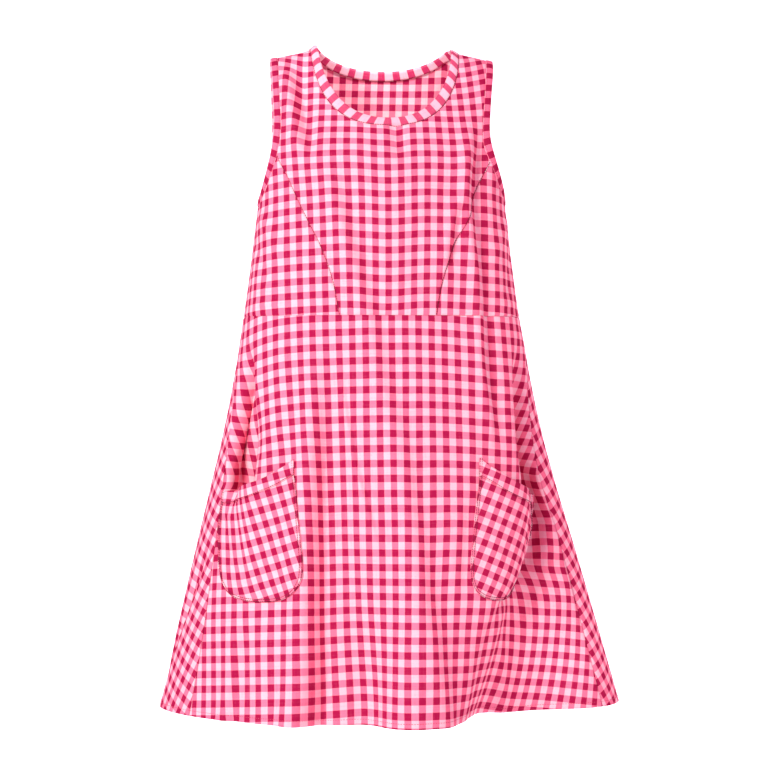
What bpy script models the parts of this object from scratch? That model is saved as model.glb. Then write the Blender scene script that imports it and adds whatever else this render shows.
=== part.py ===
"""A sleeveless A-line dress, at its real size in metres: +Z is up, the front faces -Y and the wearer's left is +X.

The dress is filled out and hollow. Its origin lies midway between the two neck points of the shoulders, where the
wearer holds it up. Every piece is a wall of cloth cut from one of two forms: the bodice, which is a set of level rings
closed over the shoulders, and the skirt, which is a set of level rings with folds laid on them.

A place on the bodice is (turn, path): turn runs from -1 at the right side seam over 0 at the centre to 1 at the left
one, and path is the way down the cloth from the shoulder ridge, negative on the front and positive on the back.
A place on the skirt is (angle, fall): angle in degrees round from the centre front, positive towards the wearer's
left, and fall from 0 at the waist seam to 1 at the hem.
"""

from collections import namedtuple

import bpy
import numpy as np
from mathutils.geometry import delaunay_2d_cdt

# Cloth and seams
CLOTH = 0.0015
BINDING_CLOTH = 0.0024
SEAM_GAP = 0.0003
NECK_BINDING_GAP = 0.0005
HALF_GAP = SEAM_GAP / 2

# Heights, as drops below the origin
UNDERARM_DROP = 0.2185
WAIST_DROP = 0.388
HEM_DROP = 0.950
SKIRT_LENGTH = HEM_DROP - WAIST_DROP

# Neck, as half widths across and paths from the shoulder ridge; it sits a little towards the wearer's left
NECK_SHIFT = 0.003
NECK_SEAM_WIDTH = 0.107
NECK_SEAM_FRONT = 0.147
NECK_SEAM_BACK = 0.061
NECK_SEAM_SQUARENESS = 2.6
NECK_EDGE_WIDTH = 0.0974
NECK_EDGE_FRONT = 0.1355
NECK_EDGE_BACK = 0.049
NECK_EDGE_SQUARENESS = 2.3
BACK_NECK_SQUARENESS = 2.1

# Shoulders: the seam lies a little forward of the ridge, which falls outwards and climbs to the neck
SHOULDER_SEAM_PATH = -0.010
SHOULDER_FALL = 0.215
NECK_CLIMB = 0.60
NECK_POINT_DROP = 0.0044
NECK_CLIMB_WIDTH = 0.011
RIDGE_FADE_PATH = 0.10
CLIMB_SHARPNESS = 300.0

# Armholes
ARMHOLE_WIDTH = 0.1610
ARMHOLE_HOLLOW_RIGHT = 0.0045
ARMHOLE_HOLLOW_LEFT = 0.0110
ARMHOLE_HOLLOW_SKEW = 1.6
ARMHOLE_BAND = 0.0097
FRONT_ARMHOLE_BEND = 0.130
BACK_ARMHOLE_BEND = 0.150

# A quarter of the ring round the body, used to scale turn to a length
QUARTER_RING = 0.25

BodiceRing = namedtuple("BodiceRing", "path drop half_width front back front_round back_round")
BODICE_RINGS = (
    BodiceRing(0.000, 0.0000, 0.1870, 0.0000, 0.0000, 0.45, 0.45),
    BodiceRing(0.015, 0.0032, 0.1870, 0.0150, 0.0148, 0.45, 0.45),
    BodiceRing(0.030, 0.0125, 0.1868, 0.0285, 0.0285, 0.46, 0.46),
    BodiceRing(0.050, 0.0290, 0.1860, 0.0430, 0.0420, 0.48, 0.48),
    BodiceRing(0.080, 0.0555, 0.1845, 0.0590, 0.0580, 0.52, 0.52),
    BodiceRing(0.120, 0.0935, 0.1820, 0.0740, 0.0750, 0.58, 0.56),
    BodiceRing(0.165, 0.1360, 0.1795, 0.0900, 0.0880, 0.64, 0.60),
    BodiceRing(0.210, 0.1785, 0.1778, 0.1040, 0.0970, 0.70, 0.64),
    BodiceRing(0.250, 0.2175, 0.1772, 0.1135, 0.1010, 0.74, 0.66),
    BodiceRing(0.290, 0.2570, 0.1815, 0.1190, 0.1020, 0.77, 0.68),
    BodiceRing(0.335, 0.3020, 0.1868, 0.1212, 0.1020, 0.79, 0.70),
    BodiceRing(0.421, 0.3880, 0.1985, 0.1220, 0.1030, 0.80, 0.72),
)

# The princess seams, from the waist seam up to the armhole band: how far from the centre, by drop
PrincessPoint = namedtuple("PrincessPoint", "drop from_centre")
PRINCESS_SEAM = (
    PrincessPoint(0.145, 0.1590),
    PrincessPoint(0.165, 0.1520),
    PrincessPoint(0.195, 0.1380),
    PrincessPoint(0.230, 0.1235),
    PrincessPoint(0.260, 0.1095),
    PrincessPoint(0.290, 0.0950),
    PrincessPoint(0.320, 0.0835),
    PrincessPoint(0.350, 0.0752),
    PrincessPoint(0.388, 0.0685),
)

SkirtRing = namedtuple("SkirtRing", "fall half_width front back front_round back_round shift_x shift_y")
SKIRT_RINGS = (
    SkirtRing(0.00, 0.1985, 0.122, 0.103, 0.80, 0.72, 0.000, 0.000),
    SkirtRing(0.15, 0.2140, 0.133, 0.108, 0.83, 0.76, 0.002, 0.003),
    SkirtRing(0.30, 0.2325, 0.146, 0.113, 0.86, 0.80, 0.004, 0.007),
    SkirtRing(0.45, 0.2545, 0.162, 0.118, 0.90, 0.84, 0.006, 0.013),
    SkirtRing(0.60, 0.2775, 0.179, 0.124, 0.94, 0.88, 0.009, 0.019),
    SkirtRing(0.80, 0.3075, 0.202, 0.131, 1.00, 0.94, 0.013, 0.027),
    SkirtRing(1.00, 0.3380, 0.225, 0.138, 1.08, 1.00, 0.016, 0.035),
)

# The skirt's side seams, by fall: they start at the sides and swing forward
SeamPoint = namedtuple("SeamPoint", "fall right_angle left_angle")
SIDE_SEAMS = (
    SeamPoint(0.00, -90.0, 86.0),
    SeamPoint(0.15, -83.0, 77.0),
    SeamPoint(0.34, -73.0, 73.0),
    SeamPoint(0.60, -65.0, 72.0),
    SeamPoint(0.85, -61.0, 70.0),
    SeamPoint(1.00, -60.0, 68.5),
)

# Folds spread from this share of their width at the start to all of it at the hem
FOLD_TOP_SPREAD = 0.55

# Folds of the skirt: where each starts, its angle at the start, halfway and the hem, its half widths in degrees to
# either side, and how far it stands out of the ring (in, if negative) halfway and at the hem
Fold = namedtuple("Fold", "name start angle_start angle_mid angle_hem right_width left_width reach_mid reach_hem")
FOLDS = (
    Fold("right front ridge", 0.00, -30.0, -28.0, -26.0, 10.0, 8.0, 0.004, 0.004),
    Fold("right front valley", 0.00, -22.0, -16.0, -9.0, 6.0, 7.0, -0.006, -0.026),
    Fold("centre ridge", 0.00, 0.0, 6.0, -1.0, 7.0, 10.0, 0.008, 0.030),
    Fold("left deep valley", 0.05, 74.0, 56.0, 35.0, 14.0, 24.0, -0.032, -0.100),
    Fold("back ridge, right", 0.10, -118.0, -122.0, -126.0, 13.0, 13.0, 0.008, 0.018),
    Fold("back valley, right", 0.10, -140.0, -144.0, -149.0, 11.0, 11.0, -0.010, -0.022),
    Fold("back ridge, centre", 0.15, 178.0, 178.0, 176.0, 12.0, 12.0, 0.008, 0.016),
    Fold("back valley, left", 0.12, 152.0, 149.0, 147.0, 10.0, 12.0, -0.009, -0.020),
    Fold("back ridge, left", 0.08, 126.0, 123.0, 121.0, 12.0, 11.0, 0.006, 0.015),
)

# The dips in the skirt behind the open pocket mouths: where each starts, is deepest and ends
Dip = namedtuple("Dip", "name angle_start angle_deep right_width left_width start deep end reach")
DIPS = (
    Dip("behind the right pocket", -62.0, -57.0, 6.0, 5.5, 0.10, 0.36, 0.66, -0.026),
    Dip("behind the left pocket", 68.0, 61.0, 5.5, 6.0, 0.08, 0.36, 0.66, -0.025),
)

# Pockets, each measured on the skirt: across is the length round from the centre front, down the drop below the
# waist seam. The edge runs from the inner end of the mouth down, round the bottom and up to the outer end
PocketPoint = namedtuple("PocketPoint", "across down")
MouthPoint = namedtuple("MouthPoint", "across seam top")
RIGHT_POCKET_EDGE = (
    PocketPoint(0.135, 0.230),
    PocketPoint(0.132, 0.255),
    PocketPoint(0.130, 0.285),
    PocketPoint(0.129, 0.315),
    PocketPoint(0.129, 0.345),
    PocketPoint(0.133, 0.368),
    PocketPoint(0.143, 0.383),
    PocketPoint(0.160, 0.392),
    PocketPoint(0.185, 0.397),
    PocketPoint(0.210, 0.398),
    PocketPoint(0.232, 0.396),
    PocketPoint(0.250, 0.390),
    PocketPoint(0.262, 0.377),
    PocketPoint(0.268, 0.355),
    PocketPoint(0.270, 0.330),
    PocketPoint(0.270, 0.305),
    PocketPoint(0.267, 0.285),
)
RIGHT_POCKET_MOUTH = (
    MouthPoint(0.137, 0.222, 0.201),
    MouthPoint(0.149, 0.229, 0.209),
    MouthPoint(0.165, 0.238, 0.218),
    MouthPoint(0.184, 0.246, 0.228),
    MouthPoint(0.208, 0.255, 0.236),
    MouthPoint(0.236, 0.262, 0.244),
    MouthPoint(0.262, 0.266, 0.248),
)
LEFT_POCKET_EDGE = (
    PocketPoint(0.123, 0.235),
    PocketPoint(0.119, 0.259),
    PocketPoint(0.114, 0.289),
    PocketPoint(0.110, 0.319),
    PocketPoint(0.107, 0.345),
    PocketPoint(0.107, 0.365),
    PocketPoint(0.112, 0.381),
    PocketPoint(0.125, 0.391),
    PocketPoint(0.145, 0.396),
    PocketPoint(0.168, 0.396),
    PocketPoint(0.190, 0.391),
    PocketPoint(0.208, 0.382),
    PocketPoint(0.222, 0.368),
    PocketPoint(0.232, 0.350),
    PocketPoint(0.239, 0.326),
    PocketPoint(0.245, 0.302),
    PocketPoint(0.253, 0.284),
)
LEFT_POCKET_MOUTH = (
    MouthPoint(0.125, 0.224, 0.199),
    MouthPoint(0.140, 0.233, 0.211),
    MouthPoint(0.158, 0.245, 0.222),
    MouthPoint(0.179, 0.256, 0.234),
    MouthPoint(0.205, 0.264, 0.243),
    MouthPoint(0.233, 0.268, 0.249),
    MouthPoint(0.262, 0.271, 0.253),
)
POCKET_LIFT = 0.0023
POCKET_PUFF = 0.003
POCKET_PUFF_WIDTH = 0.025
POCKET_GAPE = 0.006
POCKET_GAPE_DEPTH = 0.05
POCKET_BAND_CLOTH = 0.0018
POCKET_STEP = 0.0105
POCKET_BAND_STEPS = 15
POCKET_FURTHEST_ANGLE = 95.0


def glide(rows, key, value, at):
    """A smooth curve through a table: the value column's number where the key column has the number `at`."""
    keys = np.array([getattr(row, key) for row in rows])
    values = np.array([getattr(row, value) for row in rows])
    slopes = np.gradient(values, keys)
    at = np.clip(np.asarray(at, float), keys[0], keys[-1])
    low = np.clip(np.searchsorted(keys, at, side="right") - 1, 0, len(keys) - 2)
    step = keys[low + 1] - keys[low]
    t = (at - keys[low]) / step
    return (
        (1 + 2 * t) * (1 - t) ** 2 * values[low]
        + t * (1 - t) ** 2 * step * slopes[low]
        + t * t * (3 - 2 * t) * values[low + 1]
        + t * t * (t - 1) * step * slopes[low + 1]
    )


def ease(share):
    """0 below 0, 1 above 1, and a smooth step between."""
    share = np.clip(share, 0.0, 1.0)
    return share * share * (3 - 2 * share)


# ---------------------------------------------------------------- the bodice's form


def shoulder_ridge(across):
    """Height of the shoulder ridge at a distance from the centre."""
    beyond = np.maximum(np.abs(across) - NECK_SEAM_WIDTH, -NECK_CLIMB_WIDTH)
    climb = np.log1p(np.exp(-CLIMB_SHARPNESS * beyond)) / CLIMB_SHARPNESS
    return -NECK_POINT_DROP - SHOULDER_FALL * beyond + NECK_CLIMB * climb


def bodice_point(turn, path):
    """The point of the bodice's form at (turn, path), as an array of x, y, z."""
    turn = np.asarray(turn, float)
    path = np.asarray(path, float)
    fall = np.abs(path)
    angle = turn * np.pi / 2
    across = glide(BODICE_RINGS, "path", "half_width", fall) * np.sin(angle)
    front = glide(BODICE_RINGS, "path", "front", fall)
    back = glide(BODICE_RINGS, "path", "back", fall)
    front_round = glide(BODICE_RINGS, "path", "front_round", fall)
    back_round = glide(BODICE_RINGS, "path", "back_round", fall)
    inward = np.clip(np.cos(angle), 0.0, 1.0)
    depth = np.where(path < 0, -front * inward**front_round, back * inward**back_round)
    fade = 1 - ease(fall / RIDGE_FADE_PATH)
    height = shoulder_ridge(across) * fade - glide(BODICE_RINGS, "path", "drop", fall)
    return np.stack([across, depth, height], axis=-1)


def turn_at(across, path):
    """The turn at a distance across from the centre, on the ring of a path."""
    half_width = glide(BODICE_RINGS, "path", "half_width", np.abs(path))
    return np.arcsin(np.clip(across / half_width, -1.0, 1.0)) * 2 / np.pi


def path_at_drop(drop):
    """The path of the ring at a drop, below the shoulders' slope."""
    paths = np.linspace(0.0, BODICE_RINGS[-1].path, 400)
    drops = glide(BODICE_RINGS, "path", "drop", paths)
    return np.interp(drop, drops, paths)


UNDERARM_PATH = float(path_at_drop(UNDERARM_DROP))
WAIST_PATH = float(path_at_drop(WAIST_DROP - HALF_GAP))


def neck_curve(angle, width, front, back, squareness):
    """(turn, path) of a neck line at angles round it: 0 is the left shoulder, 90 degrees the centre front."""
    power = np.where(np.sin(angle) > 0, 2 / squareness, 2 / BACK_NECK_SQUARENESS)
    across = NECK_SHIFT + width * np.sign(np.cos(angle)) * np.abs(np.cos(angle)) ** power
    reach = np.where(np.sin(angle) > 0, -front, back)
    path = reach * np.abs(np.sin(angle)) ** power
    return turn_at(across, path), path


def neck_seam(angle):
    """The seam between the bodice and the neck binding."""
    return neck_curve(angle, NECK_SEAM_WIDTH, NECK_SEAM_FRONT, NECK_SEAM_BACK, NECK_SEAM_SQUARENESS)


def neck_edge(angle):
    """The free edge of the neck binding."""
    return neck_curve(angle, NECK_EDGE_WIDTH, NECK_EDGE_FRONT, NECK_EDGE_BACK, NECK_EDGE_SQUARENESS)


def neck_seam_start(front, squareness):
    """The angle at which a neck line leaves the shoulder seam."""
    return float(np.arcsin((-SHOULDER_SEAM_PATH / front) ** (squareness / 2)))


def armhole_steps(on_front, meeting=None):
    """Places down one side of an armhole: 0 is the ridge, 1 the bend, 2 the underarm. One can be made to meet."""
    bend = FRONT_ARMHOLE_BEND if on_front else BACK_ARMHOLE_BEND
    straight = np.linspace(-SHOULDER_SEAM_PATH / bend, 1.0, ARMHOLE_STEPS_DOWN, endpoint=False)
    steps = np.concatenate([[0.0], straight, np.linspace(1.0, 2.0, ARMHOLE_STEPS_ROUND)])
    if meeting is None:
        return steps
    clear = steps[np.abs(steps - meeting) > ARMHOLE_MEETING_CLEAR]
    return np.sort(np.append(clear, meeting))


def armhole_curve(side, margin, on_front, steps):
    """(turn, path) at places down the front or back of an armhole, margin away from its edge; side 1 is left."""
    bend = FRONT_ARMHOLE_BEND if on_front else BACK_ARMHOLE_BEND
    lowest = UNDERARM_PATH + margin
    angles = np.clip(steps - 1.0, 0.0, 1.0) * np.pi / 2
    falls = np.minimum(steps, 1.0) * bend + (lowest - bend) * np.sin(angles)
    pull = 1 - np.cos(angles)
    hollow = ARMHOLE_HOLLOW_LEFT if side > 0 else ARMHOLE_HOLLOW_RIGHT
    cut_in = hollow * np.sin(np.pi * np.clip(falls / lowest, 0.0, 1.0) ** ARMHOLE_HOLLOW_SKEW)
    edge = turn_at(ARMHOLE_WIDTH - cut_in - margin, falls)
    turns = side * (edge + (1 - edge) * pull)
    return turns, -falls if on_front else falls


def princess_seam(side, top_drop):
    """(turn, path) of a princess seam, from the waist seam up."""
    drops = np.linspace(WAIST_DROP - HALF_GAP, top_drop, PRINCESS_STEPS)
    paths = path_at_drop(drops)
    return side * turn_at(glide(PRINCESS_SEAM, "drop", "from_centre", drops), paths), -paths


# ---------------------------------------------------------------- the skirt's form


def fold_shape(angle, middle, right_width, left_width):
    """1 on a fold's line and 0 away from it; the two flanks have their own widths."""
    off = (angle - middle + 180.0) % 360.0 - 180.0
    width = np.where(off < 0, right_width, left_width)
    return np.exp(-((off / width) ** 2))


def fold_reach(angle, fall):
    """How far the folds stand out of the ring."""
    total = np.zeros(np.broadcast(angle, fall).shape)
    for fold in FOLDS:
        share = np.clip((fall - fold.start) / (1 - fold.start), 0.0, 1.0)
        early = 1 - share
        middle = (
            fold.angle_start * early * (1 - 2 * share)
            + fold.angle_mid * 4 * early * share
            + fold.angle_hem * share * (2 * share - 1)
        )
        reach = fold.reach_mid * 4 * early * share + fold.reach_hem * share * (2 * share - 1)
        grow = np.where(share < 0.5, ease(2 * share), 1.0)
        swell = np.where(share < 0.5, fold.reach_mid * grow, reach)
        spread = FOLD_TOP_SPREAD + (1 - FOLD_TOP_SPREAD) * share
        total = total + swell * fold_shape(angle, middle, fold.right_width * spread, fold.left_width * spread)
    return total


def dip_reach(angle, fall):
    """How far the skirt falls in behind the open pocket mouths."""
    total = np.zeros(np.broadcast(angle, fall).shape)
    for dip in DIPS:
        rising = ease((fall - dip.start) / (dip.deep - dip.start))
        leaving = 1 - ease((fall - dip.deep) / (dip.end - dip.deep))
        middle = dip.angle_start + (dip.angle_deep - dip.angle_start) * rising
        strength = dip.reach * rising * leaving
        total = total + strength * fold_shape(angle, middle, dip.right_width, dip.left_width)
    return total


def skirt_point(angle, fall, dips=True):
    """The point of the skirt's form at (angle, fall), as an array of x, y, z."""
    angle, fall = np.broadcast_arrays(np.asarray(angle, float), np.asarray(fall, float))
    size = {name: glide(SKIRT_RINGS, "fall", name, fall) for name in SkirtRing._fields[1:]}
    sine = np.sin(np.radians(angle))
    cosine = np.cos(np.radians(angle))
    front = cosine > 0
    reach = np.where(front, size["front"], size["back"])
    power = np.where(front, size["front_round"], size["back_round"])
    across = size["half_width"] * sine
    depth = np.where(front, -1.0, 1.0) * reach * np.abs(cosine) ** power
    out_x = sine / size["half_width"]
    out_y = -cosine / reach
    length = np.hypot(out_x, out_y)
    out = fold_reach(angle, fall)
    if dips:
        out = out + dip_reach(angle, fall)
    x = size["shift_x"] + across + out * out_x / length
    y = size["shift_y"] + depth + out * out_y / length
    z = -WAIST_DROP - SKIRT_LENGTH * fall
    return np.stack([x, y, z], axis=-1)


def even_angles(fall, first, last, count):
    """Angles that part the ring at a fall into equal lengths between two angles."""
    fine = np.linspace(first, last, 400)
    points = skirt_point(fine, np.full_like(fine, fall))
    lengths = np.concatenate([[0.0], np.cumsum(np.linalg.norm(np.diff(points, axis=0), axis=1))])
    return np.interp(np.linspace(0.0, lengths[-1], count), lengths, fine)


# ---------------------------------------------------------------- making pieces


def make_piece(name, points, faces, thickness, colour, outward):
    """A named wall of cloth: the sheet given by points and faces, thickened evenly to both sides."""
    mesh = bpy.data.meshes.new(name)
    mesh.from_pydata([tuple(point) for point in points], [], [tuple(face) for face in faces])
    mesh.validate()
    normal = np.zeros(3)
    for polygon in mesh.polygons:
        normal += np.array(polygon.normal) * np.array(outward(polygon.center)) * polygon.area
    if normal.sum() < 0:
        mesh.flip_normals()
    mesh.shade_smooth()
    piece = bpy.data.objects.new(name, mesh)
    DRESS.objects.link(piece)
    piece.data.materials.append(cloth_material(name, colour))
    wall = piece.modifiers.new("cloth", "SOLIDIFY")
    wall.thickness = thickness
    wall.offset = 0.0
    wall.use_even_offset = True
    return piece


def cloth_material(name, colour):
    """A matte cotton finish of one colour."""
    material = bpy.data.materials.new(name)
    material.use_nodes = True
    shader = material.node_tree.nodes["Principled BSDF"]
    shader.inputs["Base Color"].default_value = (*colour, 1.0)
    shader.inputs["Roughness"].default_value = 0.85
    shader.inputs["Metallic"].default_value = 0.0
    return material


def cut_cloth(outline, columns, rows, clearance):
    """Fill a closed outline with triangles on a lattice. Points are (across, along) in metres; returns both lists."""
    outline = np.asarray(outline, float)
    edges = [(i, (i + 1) % len(outline)) for i in range(len(outline))]
    lattice = [(a, b) for b in rows for a in columns]
    starts = outline
    ends = np.roll(outline, -1, axis=0)
    kept = []
    for point in lattice:
        spans = ends - starts
        along = np.clip(((point - starts) * spans).sum(1) / (spans**2).sum(1), 0.0, 1.0)
        nearest = np.hypot(*(starts + spans * along[:, None] - point).T).min()
        if nearest > clearance:
            kept.append(point)
    points = [tuple(p) for p in outline] + kept
    verts, _, faces, _, _, _ = delaunay_2d_cdt(points, edges, [], 1, 1e-7)
    used = sorted({corner for face in faces for corner in face})
    place = {corner: index for index, corner in enumerate(used)}
    return np.array([tuple(verts[corner]) for corner in used]), [[place[c] for c in face] for face in faces]


def loft(lines):
    """Quads between neighbouring lines of equally many points; returns the points and the faces."""
    lines = np.asarray(lines, float)
    count, length = lines.shape[:2]
    faces = []
    for row in range(count - 1):
        for column in range(length - 1):
            corner = row * length + column
            faces.append((corner, corner + 1, corner + length + 1, corner + length))
    return lines.reshape(-1, 3), faces


def loft_ring(lines):
    """Quads between neighbouring closed lines."""
    lines = np.asarray(lines, float)
    count, length = lines.shape[:2]
    faces = []
    for row in range(count - 1):
        for column in range(length):
            after = (column + 1) % length
            here = row * length
            faces.append((here + column, here + after, here + length + after, here + length + column))
    return lines.reshape(-1, 3), faces


def away_from_body(centre):
    """The level direction from the middle of the body to a point."""
    return (centre[0], centre[1], 0.0)


def towards(side):
    """The direction straight out of one side."""
    return lambda centre: (side, 0.0, 0.0)


# ---------------------------------------------------------------- the pieces

PINK = (0.86, 0.33, 0.50)
DEEP_PINK = (0.80, 0.22, 0.42)

# How finely each piece is cut
LATTICE_STEP = 0.019
LATTICE_CLEAR = 0.42
RIDGE_ROWS = (0.008, 0.018, 0.032)
ARMHOLE_STEPS_DOWN = 8
ARMHOLE_STEPS_ROUND = 9
ARMHOLE_MEETING_CLEAR = 0.05
NECK_STEPS = 26
PRINCESS_STEPS = 15
SIDE_SEAM_STEPS = 9
WAIST_STEPS = 9
PANEL_MARGIN = ARMHOLE_BAND + SEAM_GAP
SKIRT_ROWS = 19
FRONT_SKIRT_COLUMNS = 73
BACK_SKIRT_COLUMNS = 45

# How far to either side of a side seam its bend is measured, in degrees
SEAM_LOOK = 3.0


def bodice_lattice(outline, path_range):
    """Columns and rows of a lattice inside an outline, with closer rows by the shoulder ridge."""
    across = [point[0] for point in outline]
    columns = np.arange(min(across) + LATTICE_STEP / 2, max(across), LATTICE_STEP)
    steps = np.arange(RIDGE_ROWS[-1] + LATTICE_STEP, WAIST_PATH, LATTICE_STEP)
    rows = np.concatenate([-steps[::-1], -np.array(RIDGE_ROWS[::-1]), RIDGE_ROWS, steps])
    return columns, rows[(rows > path_range[0]) & (rows < path_range[1])]


def joined(*curves):
    """One outline of several lines, end to end, without the points that repeat."""
    points = []
    for turns, paths in curves:
        for point in zip(np.atleast_1d(turns) * QUARTER_RING, np.atleast_1d(paths)):
            if not points or np.hypot(point[0] - points[-1][0], point[1] - points[-1][1]) > 1e-5:
                points.append(point)
    return points


def backwards(curve):
    """The same line from its other end."""
    turns, paths = curve
    return turns[::-1], paths[::-1]


def bodice_panel(name, outline, path_range, shift):
    """A panel of the bodice, cut to an outline and moved by half a seam gap."""
    columns, rows = bodice_lattice(outline, path_range)
    flat, faces = cut_cloth(outline, columns, rows, LATTICE_STEP * LATTICE_CLEAR)
    points = bodice_point(flat[:, 0] / QUARTER_RING, flat[:, 1]) + np.array(shift)
    return make_piece(name, points, faces, CLOTH, PINK, away_from_body)


def shoulder_line(side, beyond, steps=5):
    """(turn, path) along a shoulder seam from its tip to the neck: side 1 is left; beyond is 1 on the front."""
    tip = armhole_curve(side, PANEL_MARGIN, True, armhole_steps(True)[1:2])[0][0]
    neck = float(turn_at(NECK_SHIFT + side * NECK_SEAM_WIDTH, SHOULDER_SEAM_PATH))
    return np.linspace(tip, neck, steps), np.full(steps, SHOULDER_SEAM_PATH - beyond * HALF_GAP)


def princess_meeting(side):
    """The place down an armhole where the princess seam meets it, and the drop of that place."""
    steps = np.linspace(0.5, 1.9, 600)
    turns, paths = armhole_curve(side, PANEL_MARGIN, True, steps)
    drops = glide(BODICE_RINGS, "path", "drop", -paths)
    seam = turn_at(glide(PRINCESS_SEAM, "drop", "from_centre", drops), paths)
    nearest = int(np.argmin(np.abs(side * seam - turns)))
    return float(steps[nearest]), float(drops[nearest])


def neck_line(curve, front, squareness, on_front):
    """A neck line's (turn, path), from the left shoulder seam to the right one, over the front or the back."""
    start = neck_seam_start(front, squareness)
    end = np.pi - start if on_front else -np.pi - start
    even = np.linspace(0.0, 1.0, NECK_STEPS)
    closer_at_ends = even * 0.5 + (1 - np.cos(np.pi * even)) * 0.25
    turns, paths = curve(start + (end - start) * closer_at_ends)
    ends = SHOULDER_SEAM_PATH - (HALF_GAP if on_front else -HALF_GAP)
    paths = np.concatenate([[ends], paths[1:-1], [ends]])
    return turns, paths


def waist_line(from_turn, to_turn, path, steps):
    """(turn, path) along the waist seam."""
    return np.linspace(from_turn, to_turn, steps), np.full(steps, path)


def shifted(curve, by):
    """A seam line moved sideways by a length."""
    turns, paths = curve
    step = 0.002
    reach = np.linalg.norm(bodice_point(turns + step, paths) - bodice_point(turns - step, paths), axis=1)
    return turns + by * 2 * step / reach, paths


def front_side_lines(side):
    """On one side of the front: the princess seam upwards, and the armhole above and below it, downwards."""
    meeting, top_drop = princess_meeting(side)
    steps = armhole_steps(True, meeting)
    below_shoulder = steps[2:]
    upper = armhole_curve(side, PANEL_MARGIN, True, below_shoulder[below_shoulder < meeting])
    lower = armhole_curve(side, PANEL_MARGIN, True, steps[steps > meeting])
    return princess_seam(side, top_drop), upper, lower


def make_bodice():
    """The four panels of the bodice."""
    front_shift = (0.0, -HALF_GAP, 0.0)
    back_shift = (0.0, HALF_GAP, 0.0)
    underarm = UNDERARM_PATH + PANEL_MARGIN
    down_side = np.linspace(underarm, WAIST_PATH, SIDE_SEAM_STEPS)
    inner_princess = {}
    upper_armhole = {}
    for name, side in (("left", 1), ("right", -1)):
        princess, upper, lower = front_side_lines(side)
        inner_princess[side] = shifted(princess, -side * HALF_GAP)
        upper_armhole[side] = upper
        outer_princess = shifted(princess, side * HALF_GAP)
        outline = joined(
            outer_princess,
            lower,
            (np.full(SIDE_SEAM_STEPS, side), -down_side),
            waist_line(side, outer_princess[0][0], -WAIST_PATH, WAIST_STEPS),
        )
        bodice_panel(f"front_bodice_side_{name}", outline[:-1], (-WAIST_PATH, 0.0), front_shift)

    neck = neck_line(neck_seam, NECK_SEAM_FRONT, NECK_SEAM_SQUARENESS, True)
    centre = joined(
        waist_line(inner_princess[-1][0][0], inner_princess[1][0][0], -WAIST_PATH, WAIST_STEPS),
        inner_princess[1],
        backwards(upper_armhole[1]),
        shoulder_line(1, 1),
        neck,
        backwards(shoulder_line(-1, 1)),
        upper_armhole[-1],
        backwards(inner_princess[-1]),
    )
    bodice_panel("front_bodice_centre", centre[:-1], (-WAIST_PATH, SHOULDER_SEAM_PATH), front_shift)

    back_neck = neck_line(neck_seam, NECK_SEAM_FRONT, NECK_SEAM_SQUARENESS, False)
    back = joined(
        waist_line(-1.0, 1.0, WAIST_PATH, 3 * WAIST_STEPS),
        (np.ones(SIDE_SEAM_STEPS), down_side[::-1]),
        backwards(armhole_curve(1, PANEL_MARGIN, False, armhole_steps(False))),
        shoulder_line(1, -1),
        back_neck,
        backwards(shoulder_line(-1, -1)),
        armhole_curve(-1, PANEL_MARGIN, False, armhole_steps(False)),
        (-np.ones(SIDE_SEAM_STEPS), down_side),
    )
    bodice_panel("back_bodice", back[:-1], (SHOULDER_SEAM_PATH, WAIST_PATH), back_shift)


def make_neck_binding():
    """The strip round the neck, in a front and a back half."""
    inset = NECK_BINDING_GAP / (NECK_SEAM_FRONT - NECK_EDGE_FRONT)
    for name, on_front in (("neck_binding_front", True), ("neck_binding_back", False)):
        seam = neck_line(neck_seam, NECK_SEAM_FRONT, NECK_SEAM_SQUARENESS, on_front)
        edge = neck_line(neck_edge, NECK_EDGE_FRONT, NECK_EDGE_SQUARENESS, on_front)
        lines = []
        for share in (inset, 0.5, 1.0):
            turns = seam[0] + (edge[0] - seam[0]) * share
            paths = seam[1] + (edge[1] - seam[1]) * share
            lines.append(bodice_point(turns, paths) + np.array((0.0, -HALF_GAP if on_front else HALF_GAP, 0.0)))
        points, faces = loft(lines)
        make_piece(name, points, faces, BINDING_CLOTH, DEEP_PINK, away_from_body)


def make_armhole_bands():
    """The stitched strip round each armhole, one closed ring a side."""
    for name, side in (("armhole_band_left", 1), ("armhole_band_right", -1)):
        lines = []
        for margin in (0.0, ARMHOLE_BAND):
            front = armhole_curve(side, margin, True, armhole_steps(True, princess_meeting(side)[0]))
            back = armhole_curve(side, margin, False, armhole_steps(False))
            turns = np.concatenate([front[0][:-1], back[0][:0:-1]])
            paths = np.concatenate([front[1][:-1], back[1][:0:-1]])
            lines.append(bodice_point(turns, paths))
        points, faces = loft_ring(lines)
        make_piece(name, points, faces, CLOTH, DEEP_PINK, towards(side))


def seam_room(angle, fall):
    """Half the gap at a side seam, in degrees, with more room where the cloth bends at the seam."""
    around = skirt_point(angle + np.array((-SEAM_LOOK, 0.0, SEAM_LOOK)), fall)
    before = around[1] - around[0]
    after = around[2] - around[1]
    cosine = np.dot(before, after) / (np.linalg.norm(before) * np.linalg.norm(after))
    bend = float(np.arccos(np.clip(cosine, -1.0, 1.0)))
    room = HALF_GAP + CLOTH / 2 * np.tan(bend / 2)
    return room * 2 * SEAM_LOOK / (np.linalg.norm(before) + np.linalg.norm(after))


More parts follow.
